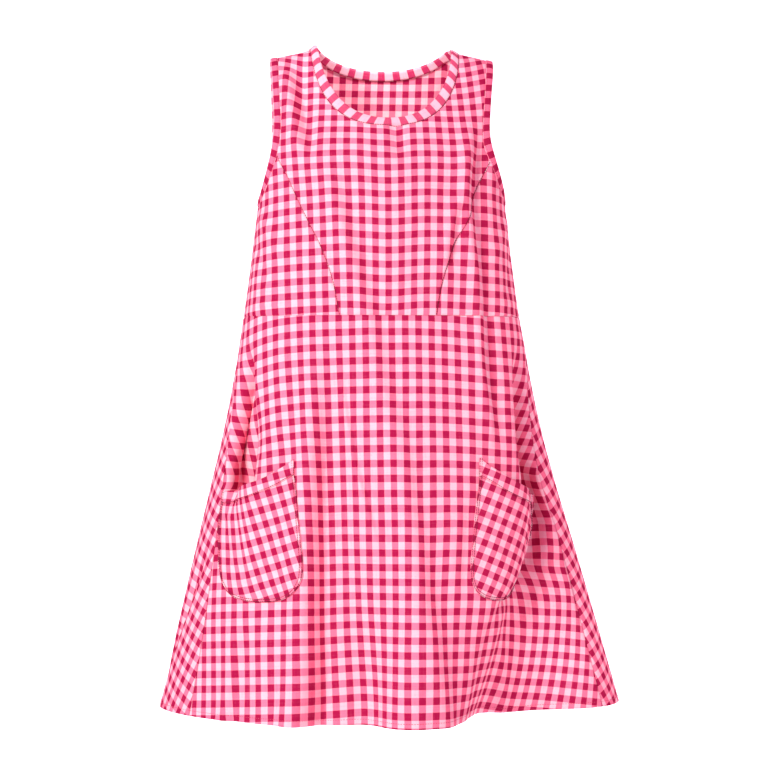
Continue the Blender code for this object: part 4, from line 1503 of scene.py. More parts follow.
def net_inside(
    line: Array, rings: Sequence[tuple[float, float]], step: float, clear: float
) -> tuple[Array, Faces, Array]:
    """A net of triangles inside a closed outline, with rings of points that follow its edge.

    Args:
        line: the outline's points in order.
        rings: for each ring, its depth inside the edge and how near to the edge its points may lie.
        step: the step of the grid inside the rings.
        clear: how near to the edge the grid's points may lie.

    Returns:
        The net's places, its triangles, and the places' distances to the outline.
    """
    closed = np.concatenate([line, line[:1]])
    low, high = line.min(0), line.max(0)
    grid = np.stack(np.meshgrid(*(np.arange(low[k], high[k], step) for k in (0, 1))), -1).reshape(-1, 2)
    kept = [line]
    for ring, room in (*((offset_outline(line, depth), room) for depth, room in rings), (grid, clear)):
        kept.append(ring[line_distance(closed, ring)[0] > room])
    edges = [(i, (i + 1) % len(line)) for i in range(len(line))]
    verts, _, triangles, *_ = delaunay_2d_cdt([tuple(p) for p in np.concatenate(kept)], edges, [], 1, 1e-7)
    used = sorted({corner for triangle in triangles for corner in triangle})
    number = {corner: index for index, corner in enumerate(used)}
    places = np.array([tuple(verts[corner]) for corner in used])
    faces = [tuple(number[corner] for corner in triangle) for triangle in triangles]
    return places, faces, line_distance(closed, places)[0]


# ---------------------------------------------------------------- bindings and bands


@dataclass
class NeckBinding:
    """The rolled strip round the neck, in two halves that meet at the shoulder seams."""

    bodice: Bodice
    edge: NeckLine = NeckLine(0.0974, 0.1355, 0.049, 2.3)
    profile: Pairs = (
        (0.06, -0.0016), (0.05, -0.0004), (0.09, 0.0005), (0.18, 0.0009), (0.35, 0.0011), (0.55, 0.0012),
        (0.75, 0.0010), (0.90, 0.0007), (0.98, 0.0002), (1.00, -0.0004), (0.97, -0.0011), (0.85, -0.0016),
        (0.55, -0.0018), (0.20, -0.0022), (-0.04, -0.0022),
    )
    skew: float = 0.05
    stitch_share: float = 0.03
    stitch_lift: float = 0.0004
    ripples: tuple[Place, ...] = ((0.00022, 0.011, 0.0), (0.00018, 0.0173, 1.0))

    def between(self, face: Face, steps: int, share: float) -> Curve:
        """(turn, path) along the binding, a share of the way from its seam to its edge."""
        seam, edge = (line.half(self.bodice.form, face, steps) for line in (self.bodice.neck_seam, self.edge))
        return seam[0] + (edge[0] - seam[0]) * share, seam[1] + (edge[1] - seam[1]) * share

    def build(self) -> None:
        """The two halves."""
        for face, steps, solid in ((Face.FRONT, 190, "front_bodice_centre"), (Face.BACK, 130, "back_bodice")):
            middle = self.between(face, steps, 0.5)
            along = run_lengths(self.bodice.form.point(*middle))
            centre = float(np.interp(0.0, -middle[0], along))
            ripple = sum(size * np.sin(along * 2 * np.pi / run + late) for size, run, late in self.ripples)
            lines = []
            for share, lift in self.profile:
                held = math.sin(math.pi * min(max(share, 0.0), 1.0)) * (1.0 if lift > 0 else 0.2)
                rise = lift + ripple * held - self.bodice.surface
                lines.append(self.bodice.place(*self.between(face, steps, share), rise))
            turned = turned_over(lines)[:, None]
            cloth = grid_cloth(lines, np.broadcast_arrays(along - centre + self.skew * turned, turned))
            node = f"neck_binding_{face.name.lower()}"
            spec = PieceSpec(f"{node}_roll", node, (solid,), TRIM_CLOTH, "gingham_trim", Held.STRETCHED, 0.0007)
            make_piece(spec, cloth, Grain(-0.002, 0.030), (float(turned[-1, 0]), float(along[-1])), cloth.area())

    def dress(self) -> None:
        """The stitches along the binding's seam, whose dark row also paints the seam's shadow line."""
        rows = []
        for face in Face:
            line = self.between(face, 200, self.stitch_share)
            rows.append((self.bodice.place(*line, self.stitch_lift), self.bodice.form.outward(*line)))
        make_stitches("neck_binding_stitches_and_seam_shade", rows, DEEP_THREAD_AND_SEAM_SHADE)


def turned_over(lines: Sequence[Array]) -> Array:
    """How far each line of a strip lies from its first one, over the cloth."""
    steps = np.median(np.linalg.norm(np.diff(lines, axis=0), axis=-1), axis=1)
    return np.concatenate([[0.0], np.cumsum(steps)])


def grid_cloth(lines: Sequence[Array], flats: Sequence[Array]) -> Cloth:
    """Cloth from rows of points.

    Args:
        lines: the rows, each of equally many points.
        flats: the same places' flat cloth coordinates, as all the across and all the down.

    Returns:
        The cloth.
    """
    count, length = np.shape(lines)[:2]
    corner = np.arange(count * length).reshape(count, length)
    quads = np.stack([corner[:-1, :-1], corner[:-1, 1:], corner[1:, 1:], corner[1:, :-1]], axis=-1).reshape(-1, 4)
    flat = np.stack(flats, axis=-1).reshape(-1, 2)
    return Cloth(np.reshape(lines, (-1, 3)), flat, [tuple(quad) for quad in quads.tolist()])


@dataclass
class ArmholeBands:
    """The stitched strip round each armhole, turned under at the edge."""

    bodice: Bodice
    profile: Pairs = metres(
        2, 9.7, -4, 9.7, -0.6, 9.2, 0.1, 8, 0.6, 6, 0.9, 3.5, 0.9, 1.5, 0.7, 0.4, 0.3, 0, -0.4, 0.5, -1.1, 3, -1.5,
        9, -1.5,
    )
    stitch_margin: float = 0.0082
    stitch_lift: float = 0.0004
    ridge_room: float = 0.003

    def ring(self, side: Side, margin: float) -> Curve:
        """The points and outward directions of a closed line round an armhole, margin away from its edge."""
        hole, form = self.bodice.armholes[side], self.bodice.form
        steps = np.linspace(0.0, 2.0, 120)
        front, back = (hole.curve(form, margin, face, steps) for face in (Face.FRONT, Face.BACK))
        turns, paths = (np.concatenate([one, other[-2::-1]]) for one, other in zip(front, back))
        off_ridge = self.ridge_room * np.sign(paths + 1e-9)
        outward = form.outward(turns, np.where(np.abs(paths) < self.ridge_room, off_ridge, paths))
        return self.bodice.place(turns, paths, -self.bodice.surface), smoothed(outward, 3)

    def build(self) -> None:
        """The two bands."""
        for side in Side:
            lines = []
            for margin, lift in self.profile:
                points, outward = self.ring(side, margin)
                lines.append(points + outward * (lift + self.bodice.surface * 0.6))
            turned, along = turned_over(lines), run_lengths(lines[0])
            cloth = grid_cloth(lines, np.broadcast_arrays(turned[:, None], along))
            node = f"armhole_band_{side.name.lower()}"
            solids = ("front_bodice_centre", "back_bodice")
            spec = PieceSpec(f"{node}_strip", node, solids, BODY_CLOTH, "gingham_trim", Held.STRETCHED, 0.0006)
            make_piece(spec, cloth, Grain(0.0085, 0.004), (float(turned[-1]), float(along[-1])), cloth.area())

    def dress(self) -> None:
        """The stitches round each band."""
        rows = []
        for side in Side:
            points, outward = self.ring(side, self.stitch_margin)
            rows.append((points + outward * (self.bodice.surface + self.stitch_lift), outward))
        make_stitches("armhole_stitches", rows, DEEP_THREAD_AND_SEAM_SHADE)


def smoothed(values: Array, rounds: int) -> Array:
    """Directions along a line, averaged with their neighbours and made of length 1 again."""
    for _ in range(rounds):
        values = np.concatenate([values[:1], (values[:-2] + 2 * values[1:-1] + values[2:]) / 4, values[-1:]])
    return unit(values)


# ---------------------------------------------------------------- the skirt


@dataclass
class Skirt:
    """The skirt's front and back, with creases and a turned hem."""

    form: SkirtForm = field(default_factory=SkirtForm)
    rows: int = 118
    front_columns: int = 200
    back_columns: int = 132
    surface: float = 0.00070
    hem_rises: tuple[float, ...] = (0.0030, 0.0075, 0.0120)
    hem_inside: float = -0.0018
    hem_stitches: float = 0.0072
    stitch_lift: float = -0.0002
    hem_tuck: float = 0.001
    hem_bends: Pairs = ((0.0004, 0.0005), (0.0002, 0.0012))
    width: float = 0.62
    top_rows: tuple[float, ...] = (0.0, 0.0007, 0.0016, 0.0028)
    first_row: float = 0.0045
    side_columns: tuple[float, ...] = (0.0, 0.0008, 0.0018, 0.0032)
    first_column: float = 0.0055
    side_seam: Ditch = Ditch(0.0007, 0.0013, 0.0003, 0.0042, 0.0018)
    waist_seam: Ditch = Ditch(0.0006, 0.0011, 0.0003, 0.0040, 0.0020)
    hem_seam: Ditch = Ditch(0.0004, 0.0013)
    seam_fade: float = 2.5
    side_room: float = 0.0002
    front_creases: tuple[Crease, ...] = (
        Crease((-95, -20, -100, 120, -106, 227, -114, 337, -128, 448, -150, 562, -161, 630), 16, 5, 24, STEP, 0.35,
               0.02, 32),
        Crease((-30, -50, -19, 0, -7, 78, 9, 145, 21, 217, 31, 289, 38, 350, 45, 410, 55, 470, 74, 562, 88, 630), 16,
               4, 8, STEP, 0.02, 0.02, 34),
        Crease((80, 380, 90, 450, 104, 520, 114, 575, 120, 630), 30, 6, 4, STEP, 0.3, 0.02, 60),
        Crease((-67, 40, -65, 80, -63, 125, -57, 169, -46, 225, -30, 290, -18, 345), 4.2, 2.6, 2.6, STEP, 0.3, 0.3),
        Crease((140, -50, 140, 0, 140, 70, 148, 125, 158, 202), 14, 6, None, STEP, 0.05, 0.3),
        Crease((112, 10, 116, 110, 112, 230), 16, 2.2),
        Crease((-150, 10, -158, 100, -160, 200), 14, 2.4),
        Crease((-212, 30, -217, 88, -226, 135, -233, 191, -238, 233, -240, 285), 9, -13, -46, RIDGE, 0.25, 0.25, 11),
        Crease((-196, 50, -200, 120, -208, 190, -214, 240), 7, 4),
        Crease((-250, 120, -253, 180, -258, 250), 6, 3),
        Crease((208, 20, 208, 72, 211, 136, 220, 193, 250, 249, 258, 305, 236, 361, 200, 385, 165, 410, 137, 466, 130,
               520, 128, 562, 126, 630), 13, -17, -3, RIDGE, 0.15, 0.02, 18),
        Crease((305, 300, 275, 360, 235, 430, 215, 500, 210, 562, 210, 630), 45, -10, -16, STEP, 0.35, 0.02, 60),
        Crease((112, 240, 106, 300, 100, 350, 98, 400), 10, -5),
        Crease((236, 200, 260, 250, 268, 300, 256, 345, 232, 380), 9, -10),
        Crease((-190, 400, -205, 480, -220, 562, -232, 630), 14, 3.4, 4.5, RIDGE, 0.3, 0.02),
        Crease((-235, 410, -252, 480, -272, 562, -290, 630), 13, 3, 5, STEP, 0.3, 0.02),
        Crease((-40, 380, -50, 470, -56, 562, -60, 630), 14, -2, -3.4, RIDGE, 0.3, 0.02),
        Crease((4, 400, 10, 480, 16, 562, 20, 630), 14, 2, 3.6, RIDGE, 0.3, 0.02),
        Crease((190, 430, 205, 490, 220, 562, 232, 630), 12, 3, 5, RIDGE, 0.3, 0.02),
    )
    drifts: tuple[Drift, ...] = (
        Drift(-0.235, 0.070, 0.055, 0.160, 0.0, 0.0120),
        Drift(0.170, 0.080, 0.070, 0.200, 0.0, 0.0055),
        Drift(0.020, 0.330, 0.130, 0.130, 0.0, 0.0045),
        Drift(-0.300, 0.600, 0.170, 0.360, -0.0090, 0.0),
        Drift(-0.135, 0.360, 0.060, 0.200, 0.0095, 0.0),
        Drift(0.200, 0.120, 0.060, 0.140, 0.0100, 0.0),
        Drift(0.120, 0.280, 0.080, 0.120, 0.0035, 0.0),
        Drift(0.250, 0.480, 0.100, 0.130, 0.0085, 0.0),
    )
    back_creases: tuple[Crease, ...] = (
        Crease((-90, 0, -98, 140, -112, 300, -130, 562, -136, 630), 14, 3.5, 12, STEP, 0.3, 0.02, 26),
        Crease((-40, 10, -42, 150, -50, 330, -56, 562, -58, 630), 15, 2.4, 5, RIDGE, 0.3, 0.02),
        Crease((0, 0, 4, 110, 10, 260, 14, 562, 16, 630), 14, 3, 11, STEP, 0.3, 0.02, 24),
        Crease((60, 10, 66, 160, 78, 340, 92, 562, 96, 630), 14, -2.6, -5, RIDGE, 0.3, 0.02),
        Crease((104, 0, 112, 140, 124, 300, 142, 562, 148, 630), 14, 3.4, 11, STEP, 0.3, 0.02, 24),
        Crease((150, 60, 166, 220, 190, 400, 204, 562, 208, 630), 14, 2.4, 4.5, RIDGE, 0.3, 0.02),
        Crease((-146, 50, -160, 220, -180, 400, -196, 562, -202, 630), 14, 2.6, 5, RIDGE, 0.3, 0.02),
        Crease((400, 300, 396, 400, 393, 481, 402, 562, 406, 630), 12, -8, -14, RIDGE, 0.3, 0.02),
    )

    def __post_init__(self) -> None:
        """Measures the form."""
        angles = np.concatenate([np.linspace(-100, 100, 201), np.linspace(101, 300, 200)])
        falls = np.linspace(0.0, 1.0, 121)
        self.chart = Chart(self.form.smooth_point, angles, falls)
        rows = np.linspace(0.0, 1.0, 23)
        self.front_flat = Unrolled(self.form.smooth_point, np.linspace(-84.0, 84.0, 37), rows, 0.0, 0.0)
        self.back_flat = Unrolled(self.form.smooth_point, np.linspace(72.0, 296.0, 41), rows, 180.0, 0.0)
        self.back_arc = self.chart.across(np.full(121, 180.0), falls)

    def crease_lift(self, angle: Array, fall: Array, face: Face) -> Array:
        """How far the creases lift the cloth at places."""
        across = self.chart.across(angle, fall)
        if face is Face.BACK:
            across = across - np.interp(fall, self.chart.seconds, self.back_arc)
        places = np.stack([across, fall * SKIRT_LENGTH], axis=-1).reshape(-1, 2)
        creases = self.front_creases if face is Face.FRONT else self.back_creases
        return sum(crease.lift(places) for crease in creases).reshape(np.shape(angle))

    def place(self, angle: Array, fall: Array, lift: Array | float, face: Face, folded: float = 1.0) -> Array:
        """The finished cloth's point at places.

        Args:
            angle: the places' angles.
            fall: their falls.
            lift: how far above the cloth.
            face: front or back piece.
            folded: the share of the creases' lift.

        Returns:
            Points, along the last axis.
        """
        first, last = self.side_angles(fall, face)
        fade = ease(np.minimum(angle - first, last - angle) / self.seam_fade)
        total = self.surface + self.crease_lift(angle, fall, face) * fade * folded + lift
        return self.form.point(angle, fall) + self.form.outward(angle, fall) * total[..., None]

    def side_angles(self, fall: Array | float, face: Face) -> Curve:
        """Angles of a piece's two side seams, at falls."""
        right, left = (self.form.side_seams.at(f"{word}_angle", fall) for word in ("right", "left"))
        return (right, left) if face is Face.FRONT else (left, right + 360.0)

    def row_angles(self, fall: float, face: Face, shares: Array) -> Array:
        """Angles of the places along a row of a piece.

        Args:
            fall: the row's fall.
            face: front or back piece.
            shares: shares of the row's length.

        Returns:
            The angles.
        """
        fine = np.linspace(*self.side_angles(fall, face), 500)
        runs = run_lengths(self.form.point(fine, fall))
        room = HALF_GAP + self.side_room
        return np.interp(np.clip(shares * runs[-1], room, runs[-1] - room), runs, fine)

    def build(self) -> None:
        """The front and the back."""
        body = np.linspace(self.first_row / SKIRT_LENGTH, 1.0, self.rows)
        falls = np.concatenate([(np.array(self.top_rows) + HALF_GAP) / SKIRT_LENGTH, body])
        downs = falls * SKIRT_LENGTH
        level_lift = self.waist_seam.lift(downs) + self.hem_seam.lift(downs - SKIRT_LENGTH + self.hem_stitches)
        for face, columns in ((Face.FRONT, self.front_columns), (Face.BACK, self.back_columns)):
            seam = np.array(self.side_columns) / self.width
            first = self.first_column / self.width
            shares = np.concatenate([seam, np.linspace(first, 1 - first, columns), 1 - seam[::-1]])
            angles = np.array([self.row_angles(float(fall), face, shares) for fall in falls])
            grid = np.repeat(falls[:, None], len(shares), axis=1)
            lift = self.side_seam.lift(np.minimum(shares, 1 - shares) * self.width) + level_lift[:, None]
            points = self.place(angles, grid, lift, face)
            arcs = np.array([run_lengths(row) for row in self.place(angles, grid, lift, face, 0.5)])
            centre, unrolled = (0.0, self.front_flat) if face is Face.FRONT else (180.0, self.back_flat)
            arcs = arcs - np.array([[np.interp(centre, angle, arc)] for angle, arc in zip(angles, arcs)])
            flats = unrolled.flat(angles.ravel(), grid.ravel(), arcs.ravel()).reshape(*angles.shape, 2)
            if face is Face.BACK:
                points, flats, angles = points[:, ::-1], flats[:, ::-1], angles[:, ::-1]
            outward = self.form.outward(angles, grid)
            lines, shades = list(points), list(flats)
            for drop, depth in self.hem_bends:
                lines.append(points[-1] - outward[-1] * depth + np.array((0.0, 0.0, -drop)))
                shades.append(flats[-1] + np.array((0.0, self.hem_tuck + drop)))
            for rise in self.hem_rises:
                higher = np.full_like(angles[-1], 1.0 - rise / SKIRT_LENGTH)
                lines.append(self.place(angles[-1], higher, self.hem_inside, face))
                shades.append(flats[-1] + np.array((0.0, self.hem_tuck + rise)))
            cloth = grid_cloth(lines, np.moveaxis(np.array(shades), -1, 0))
            cut, area = cut_size(flats.reshape(-1, 2)), cloth.area()
            corners = np.arange(points[..., 0].size).reshape(points.shape[:2])
            cloth.lipped(corners[0], np.tile((0.0, 0.0, -1.0), (len(shares), 1)), outward[0])
            for column, step in ((0, 6), (-1, -6)):
                inward = points[:, column + step] - points[:, column]
                cloth.lipped(corners[:, column], inward, outward[:, column])
            word = face.name.lower()
            spec = PieceSpec(f"skirt_{word}_panel", f"{word}_skirt", ("front_bodice_centre", "back_bodice"))
            grain = Grain(0.0049, 0.0028, 2.0, 1.0, 1.0, self.drifts) if face is Face.FRONT else Grain(0.0040, 0.0024)
            make_piece(spec, cloth, grain, cut, area)

    def dress(self) -> None:
        """The stitches along the hem."""
        rows = []
        fall = 1.0 - self.hem_stitches / SKIRT_LENGTH
        for face in Face:
            angles = self.row_angles(fall, face, np.linspace(0.0, 1.0, 500))
            falls = np.full_like(angles, fall)
            rows.append((self.place(angles, falls, self.stitch_lift, face), self.form.outward(angles, falls)))
        make_stitches("hem_stitches", rows, PINK_THREAD, Stitch(0.0034))


# ---------------------------------------------------------------- the pockets


@dataclass
class Pocket:
    """A patch pocket with a slanted open mouth and a band, measured as (across, down) on the skirt."""

    skirt: Skirt
    side: Side
    edge: Pairs
    mouth: SizeTable
    creases: tuple[Crease, ...]
    lean: float
    lean_from: float
    lean_to: float
    bottom: float
    grain: Grain
    lift: float = 0.0023
    puff: float = 0.003
    puff_width: float = 0.025
    gape: float = 0.006
    gape_depth: float = 0.05
    trough_share: float = 0.6
    crease_fade: float = 0.008
    step: float = 0.0022
    lip: float = 0.0016
    stitch_depths: tuple[float, float] = (0.0010, 0.0038)
    stitch_lift: float = 0.0007
    mouth_stitch_depth: float = 0.0016
    mouth_stitch_lift: float = 0.0012
    band_lift: float = 0.0003
    rings: Pairs = ((0.0008, 0.000704), (0.0018, 0.001584), (0.0032, 0.002816))
    net: float = 0.0034
    clear: float = 0.0048
    surface: float = 0.0004
    band_seam: Ditch = Ditch(0.0010, 0.0014)
    edge_seam: Ditch = Ditch(0.0007, 0.0008, 0.0004, 0.0015, 0.0009)
    second_seam: Ditch = Ditch(0.0005, 0.0009)
    second_at: float = 0.0030
    thickness: float = 0.0007
    band_width: float = 0.036
    band: Pairs = (
        (0.00, -0.0022), (0.00, -0.0003), (0.04, 0.0003), (0.12, 0.0006), (0.35, 0.0007), (0.65, 0.0007),
        (0.88, 0.0006), (0.97, 0.0003), (1.00, -0.0003), (0.98, -0.0009), (0.85, -0.0012), (0.20, -0.0012),
    )

    def place(self, places: Array, lift: Array | float = 0.0) -> Curve:
        """The finished pocket's points and outward directions.

        Args:
            places: (across, down) on the skirt, n by 2.
            lift: how far above the pocket's cloth.

        Returns:
            The points and the directions, n by 3 each.
        """
        across, down = places.T
        falls = down / SKIRT_LENGTH
        chart = self.skirt.chart
        angles = np.array([chart.first_at(self.side.value * a, f) for a, f in zip(across, falls)])
        first, last = self.mouth.rows[0][0], self.mouth.rows[-1][0]
        distance = line_distance(self.sewn(self.edge), places)[0]
        gape = self.gape * np.sin(np.pi * np.clip((across - first) / (last - first), 0.0, 1.0))
        gape = gape * np.exp(-np.abs(down - self.mouth.at("seam", across)) / self.gape_depth)
        fold = self.skirt.crease_lift(angles, falls, Face.FRONT)
        rise = self.lift + self.puff * ease(distance / self.puff_width) + gape
        rise = rise + np.where(fold < 0, self.trough_share * fold, fold)
        rise = rise + sum(crease.lift(places) for crease in self.creases) * ease(distance / self.crease_fade) + lift
        outward = self.skirt.form.outward(angles, falls, dips=False)
        return self.skirt.form.smooth_point(angles, falls) + outward * rise[:, None], outward

    def sewn(self, edge: Sequence[Sequence[float]]) -> Array:
        """The sewn edge, from the mouth's top at one end round to its top at the other."""
        first, last = self.mouth.rows[0], self.mouth.rows[-1]
        return np.array([(first[0], first[2]), *edge, (last[0], last[2])])

    def smooth_edge(self) -> Array:
        """The sewn edge below the mouth with its corners rounded."""
        return smooth_line(np.array(self.edge), 160)

    def flat(self, places: Array) -> Array:
        """Flat cloth coordinates, with the grain that leans over most of the pocket.

        Args:
            places: (across, down) on the skirt, n by 2.

        Returns:
            (across, down) on the flat cloth, n by 2.
        """
        fine = np.linspace(0.08, 0.30, 400)
        tilt = np.tan(math.radians(self.lean) * ease((self.lean_from - fine) / (self.lean_from - self.lean_to)))
        rise = np.concatenate([[0.0], np.cumsum((tilt[1:] + tilt[:-1]) / 2 * np.diff(fine))])
        rise = rise - np.interp(self.lean_from, fine, rise)
        leaned = (places[:, 1] - self.bottom) * np.interp(places[:, 0], fine, tilt)
        down = places[:, 1] - np.interp(places[:, 0], fine, rise)
        return np.stack([self.side.value * (places[:, 0] + leaned), down], axis=1)

    def build(self) -> None:
        """The pocket and its band."""
        node = f"pocket_{self.side.name.lower()}"
        ends = np.linspace(self.mouth.rows[0][0], self.mouth.rows[-1][0], 70)
        seam = np.stack([ends, self.mouth.at("seam", ends)], axis=1)
        mouth = seam[::-1] + np.array((0.0, HALF_GAP))
        line = even_outline(np.concatenate([mouth, self.smooth_edge()]), self.step)
        places, faces, _ = net_inside(line, self.rings, self.net, self.clear)
        to_band, to_edge = (line_distance(line, places)[0] for line in (seam, self.sewn(self.edge)))
        ditch = self.edge_seam.lift(to_edge) + self.second_seam.lift(to_edge - self.second_at)
        points, outward = self.place(places, ditch + self.band_seam.lift(to_band) + self.surface)
        cloth = Cloth(points, self.flat(places), faces)
        area = cloth.area()
        inward = self.place(offset_outline(line, LIP_LOOK))[0] - self.place(line)[0]
        loop = [*range(len(line)), 0]
        cloth.lipped(loop, inward[loop], outward[loop], self.lip)
        spec = PieceSpec(f"{node}_patch", node, ("front_skirt",), held=Held.LAID, thickness=self.thickness)
        make_piece(spec, cloth, self.grain, cut_size(places), area)
        tops = self.mouth.at("top", ends)
        lines, flats = [], []
        for share, lift in self.band:
            places = np.stack([ends, seam[:, 1] - HALF_GAP + (tops - seam[:, 1]) * share], axis=1)
            lines.append(self.place(places, lift + self.band_lift)[0])
            flats.append(self.flat(places))
        solid = f"pocket_band_{self.side.name.lower()}"
        spec = PieceSpec(f"{node}_mouth_band", solid, (node,), BODY_CLOTH, "gingham_trim", Held.LAID, self.thickness)
        cut = (self.band_width, float(run_lengths(seam)[-1]))
        cloth = grid_cloth(lines, np.moveaxis(np.array(flats), -1, 0))
        make_piece(spec, cloth, self.grain, cut, cut[0] * cut[1])

    def dress(self) -> None:
        """The double row of stitches along the sewn edge and the row along the band."""
        outline = self.sewn(self.smooth_edge())
        runs = run_lengths(outline)[-1]
        line = read_line(outline, np.linspace(0.0, runs, int(runs / 0.002)))
        ways = np.gradient(line, axis=0)
        normal = unit(np.stack([-ways[:, 1], ways[:, 0]], axis=1))
        hand = np.sign(((outline.mean(0) - line) * normal).sum(1).mean())
        rows = [self.place(line + normal * hand * depth, self.stitch_lift) for depth in self.stitch_depths]
        ends = np.linspace(self.mouth.rows[0][0] + 0.002, self.mouth.rows[-1][0] - 0.001, 80)
        seam = np.stack([ends, self.mouth.at("seam", ends) - self.mouth_stitch_depth], axis=1)
        rows.append(self.place(seam, self.mouth_stitch_lift))
        make_stitches(f"pocket_{self.side.name.lower()}_stitches", rows, DEEP_THREAD_AND_SEAM_SHADE)


def pockets(skirt: Skirt) -> list[Pocket]:
    """The two pockets.

    Args:
        skirt: the skirt they are sewn on.

    Returns:
        The right one and the left one.
    """
    columns = ("across", "seam", "top")
    right = Pocket(
        skirt,
        Side.RIGHT,
        metres(
            2, 135, 230, 132, 255, 130, 285, 129, 315, 129, 345, 133, 368, 143, 383, 160, 392, 185, 397, 210, 398,
            232, 396, 250, 390, 262, 377, 268, 355, 270, 330, 270, 305, 267, 285,
        ),
        SizeTable(
            columns,
            metres(
                3, 137, 222, 201, 149, 229, 209, 165, 238, 218, 184, 246, 228, 208, 255, 236, 236, 262, 244,
                262, 266, 248,
            ),
        ),
        (
            Crease((232, 270, 228, 310, 221, 350, 210, 385), 4.5, -2.4, None, RIDGE, 0.1, 0.1),
            Crease((242, 275, 236, 320, 230, 360), 5, 2.2, None, RIDGE, 0.1, 0.2),
            Crease((252, 280, 249, 310, 246, 350), 4, -1.6, None, RIDGE, 0.1, 0.2),
            Crease((150, 290, 172, 330, 200, 360), 11, 1.2),
        ),
        16.0, 0.250, 0.205, 0.385,
        Grain(-0.2475, 0.3040),
    )
    left = Pocket(
        skirt,
        Side.LEFT,
        metres(
            2, 123, 235, 119, 259, 114, 289, 110, 319, 107, 345, 107, 365, 112, 381, 125, 391, 145, 396, 170, 397,
            196, 394, 218, 386, 233, 372, 242, 352, 247, 328, 251, 303, 253, 284,
        ),
        SizeTable(
            columns,
            metres(
                3, 125, 224, 199, 140, 233, 211, 158, 245, 222, 179, 256, 234, 205, 264, 243, 233, 268, 249,
                262, 271, 253,
            ),
        ),
        (
            Crease((226, 278, 219, 310, 208, 350), 5, -2.2, None, RIDGE, 0.1, 0.2),
            Crease((240, 285, 233, 315, 224, 350), 4.5, 1.8, None, RIDGE, 0.1, 0.2),
            Crease((130, 300, 148, 340, 170, 370), 11, 1.2),
        ),
        24.0, 0.262, 0.236, 0.385,
        Grain(0.1150, 0.3100),
    )
    return [right, left]


# ---------------------------------------------------------------- light, floor and camera


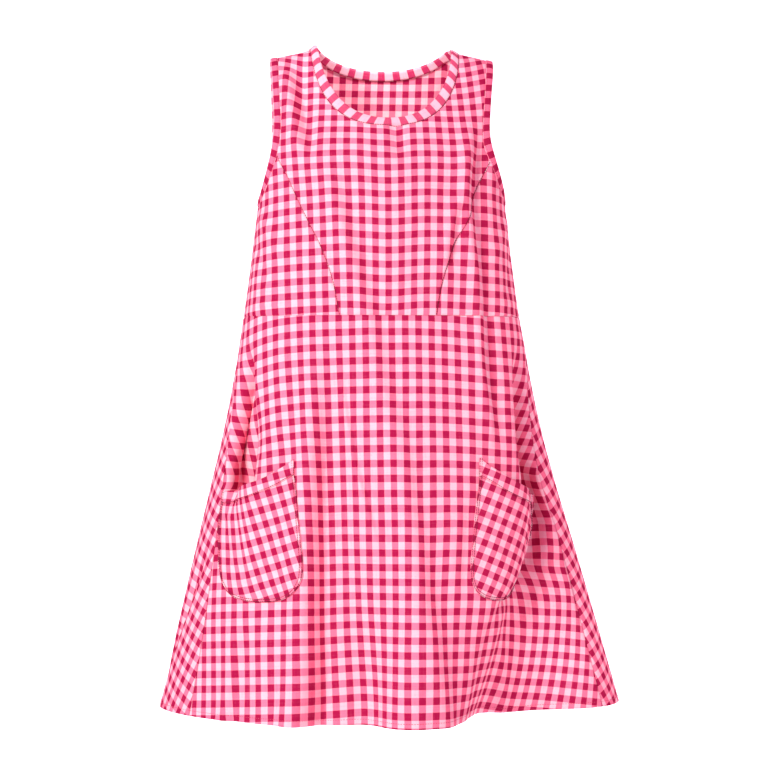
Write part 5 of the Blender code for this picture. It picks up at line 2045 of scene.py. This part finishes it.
@dataclass(frozen=True)
class Studio:
    """A plain pale floor and backdrop, soft lights and the camera."""

    turn: float = 4.5
    distance: float = 3.0
    aim_across: float = 0.0036
    aim_height: float = -0.484
    lens: float = 96.98
    floor: float = -1.42
    bend: float = 3.3
    sweep: float = 0.9
    wall_top: float = 4.4
    half_width: float = 6.0
    bounce: Colour = (0.58, 0.13, 0.36)

    def build(self) -> None:
        """Makes them all."""
        self.backdrop()
        middle = (0.0, 0.0, -0.48)
        soft = {"spot_blend": 1.0, "shadow_soft_size": 0.05}
        self.lamp("key", "AREA", (-1.72, -2.25, 0.50), middle, 87.0, shape="SQUARE", size=1.0)
        self.lamp("side", "AREA", (2.30, -1.10, -0.10), middle, 16.0, shape="SQUARE", size=1.0)
        neck, hem = math.radians(8.5), math.radians(5.0)
        self.lamp("neck", "SPOT", (0.35, -1.50, 0.90), (-0.035, 0.09, -0.062), 165.0, spot_size=neck, **soft)
        self.lamp("hem", "SPOT", (-0.40, -2.60, -0.50), (0.245, -0.10, -0.850), 80.0, spot_size=hem, **soft)
        self.lamp("behind", "AREA", (1.8, 2.4, 0.6), middle, 60.0, shape="SQUARE", size=2.2)
        self.air()
        bpy.context.scene.view_settings.view_transform = "Standard"
        self.camera()

    def air(self) -> None:
        """The pink light that bounces about among pink folds, from all round; it isn't seen itself."""
        world = bpy.data.worlds.new("studio_air")
        bpy.context.scene.world = world
        world.use_nodes = True
        make = Nodes(world.node_tree)
        seen = make.node("LightPath", {}).outputs["Is Camera Ray"]
        make.put(make.blend(seen, self.bounce, (1.0, 1.0, 1.0)), world.node_tree.nodes["Background"].inputs["Color"])

    @staticmethod
    def lamp(name: str, kind: str, place: Place, aim: Place, power: float, **settings: object) -> None:
        """A soft light.

        Args:
            name: its name.
            kind: AREA or SPOT.
            place: where it hangs.
            aim: the place it looks at.
            power: its power in watts.
            settings: its other settings.
        """
        data = bpy.data.lights.new(name, kind)
        data.energy = power
        for setting, value in settings.items():
            setattr(data, setting, value)
        lamp = new_object(name, data)
        lamp.location = place
        way = np.array(aim) - np.array(place)
        lamp.rotation_euler = (math.atan2(math.hypot(way[0], way[1]), -way[2]), 0.0, math.atan2(-way[0], way[1]))

    def backdrop(self) -> None:
        """A floor that sweeps up behind the dress."""
        rows = [(-self.half_width, self.floor)]
        for angle in np.linspace(0.0, math.pi / 2, 13):
            rows.append((self.bend + self.sweep * math.sin(angle), self.floor + self.sweep * (1 - math.cos(angle))))
        rows.append((self.bend + self.sweep, self.wall_top))
        points = [(x, y, z) for y, z in rows for x in (-self.half_width, self.half_width)]
        faces = [(2 * i, 2 * i + 1, 2 * i + 3, 2 * i + 2) for i in range(len(rows) - 1)]
        mesh = bpy.data.meshes.new("backdrop")
        mesh.from_pydata(points, [], faces)
        mesh.shade_smooth()
        mesh.materials.append(material_of("backdrop_paper", self.paper))
        new_object("backdrop", mesh)

    @staticmethod
    def paper(make: Nodes) -> dict[str, object]:
        """The backdrop's nodes: pale paper that the camera sees lit from all round.

        Args:
            make: puts nodes into the material.

        Returns:
            What the Principled node's inputs take.
        """
        fibre = make.noise(make.object_place(), 30.0)
        return {
            "Base Color": make.blend(fibre, (0.90, 0.90, 0.90), (0.93, 0.93, 0.93)),
            "Roughness": 0.9,
            "Emission Strength": 1.0,
            "Emission Color": make.node("LightPath", {}).outputs["Is Camera Ray"],
        }

    def camera(self) -> None:
        """The camera, level with the middle of the dress and a little to its right."""
        data = bpy.data.cameras.new("camera")
        data.sensor_width = 36.0
        data.lens = self.lens
        camera = new_object("camera", data)
        turn = math.radians(self.turn)
        sine, cosine = math.sin(turn), math.cos(turn)
        camera.location = (
            self.aim_across * cosine - self.distance * sine,
            -self.distance * cosine - self.aim_across * sine,
            self.aim_height,
        )
        camera.rotation_euler = (math.pi / 2, 0.0, -turn)
        bpy.context.scene.camera = camera


def main() -> None:
    """Builds and dresses every sub-assembly in order."""
    logging.basicConfig(level=logging.INFO, format="%(name)s: %(message)s")
    Studio().build()
    bodice = Bodice()
    skirt = Skirt()
    for part in (bodice, NeckBinding(bodice), ArmholeBands(bodice), skirt, *pockets(skirt)):
        part.build()
        part.dress()


if __name__ == "__main__":
    main()
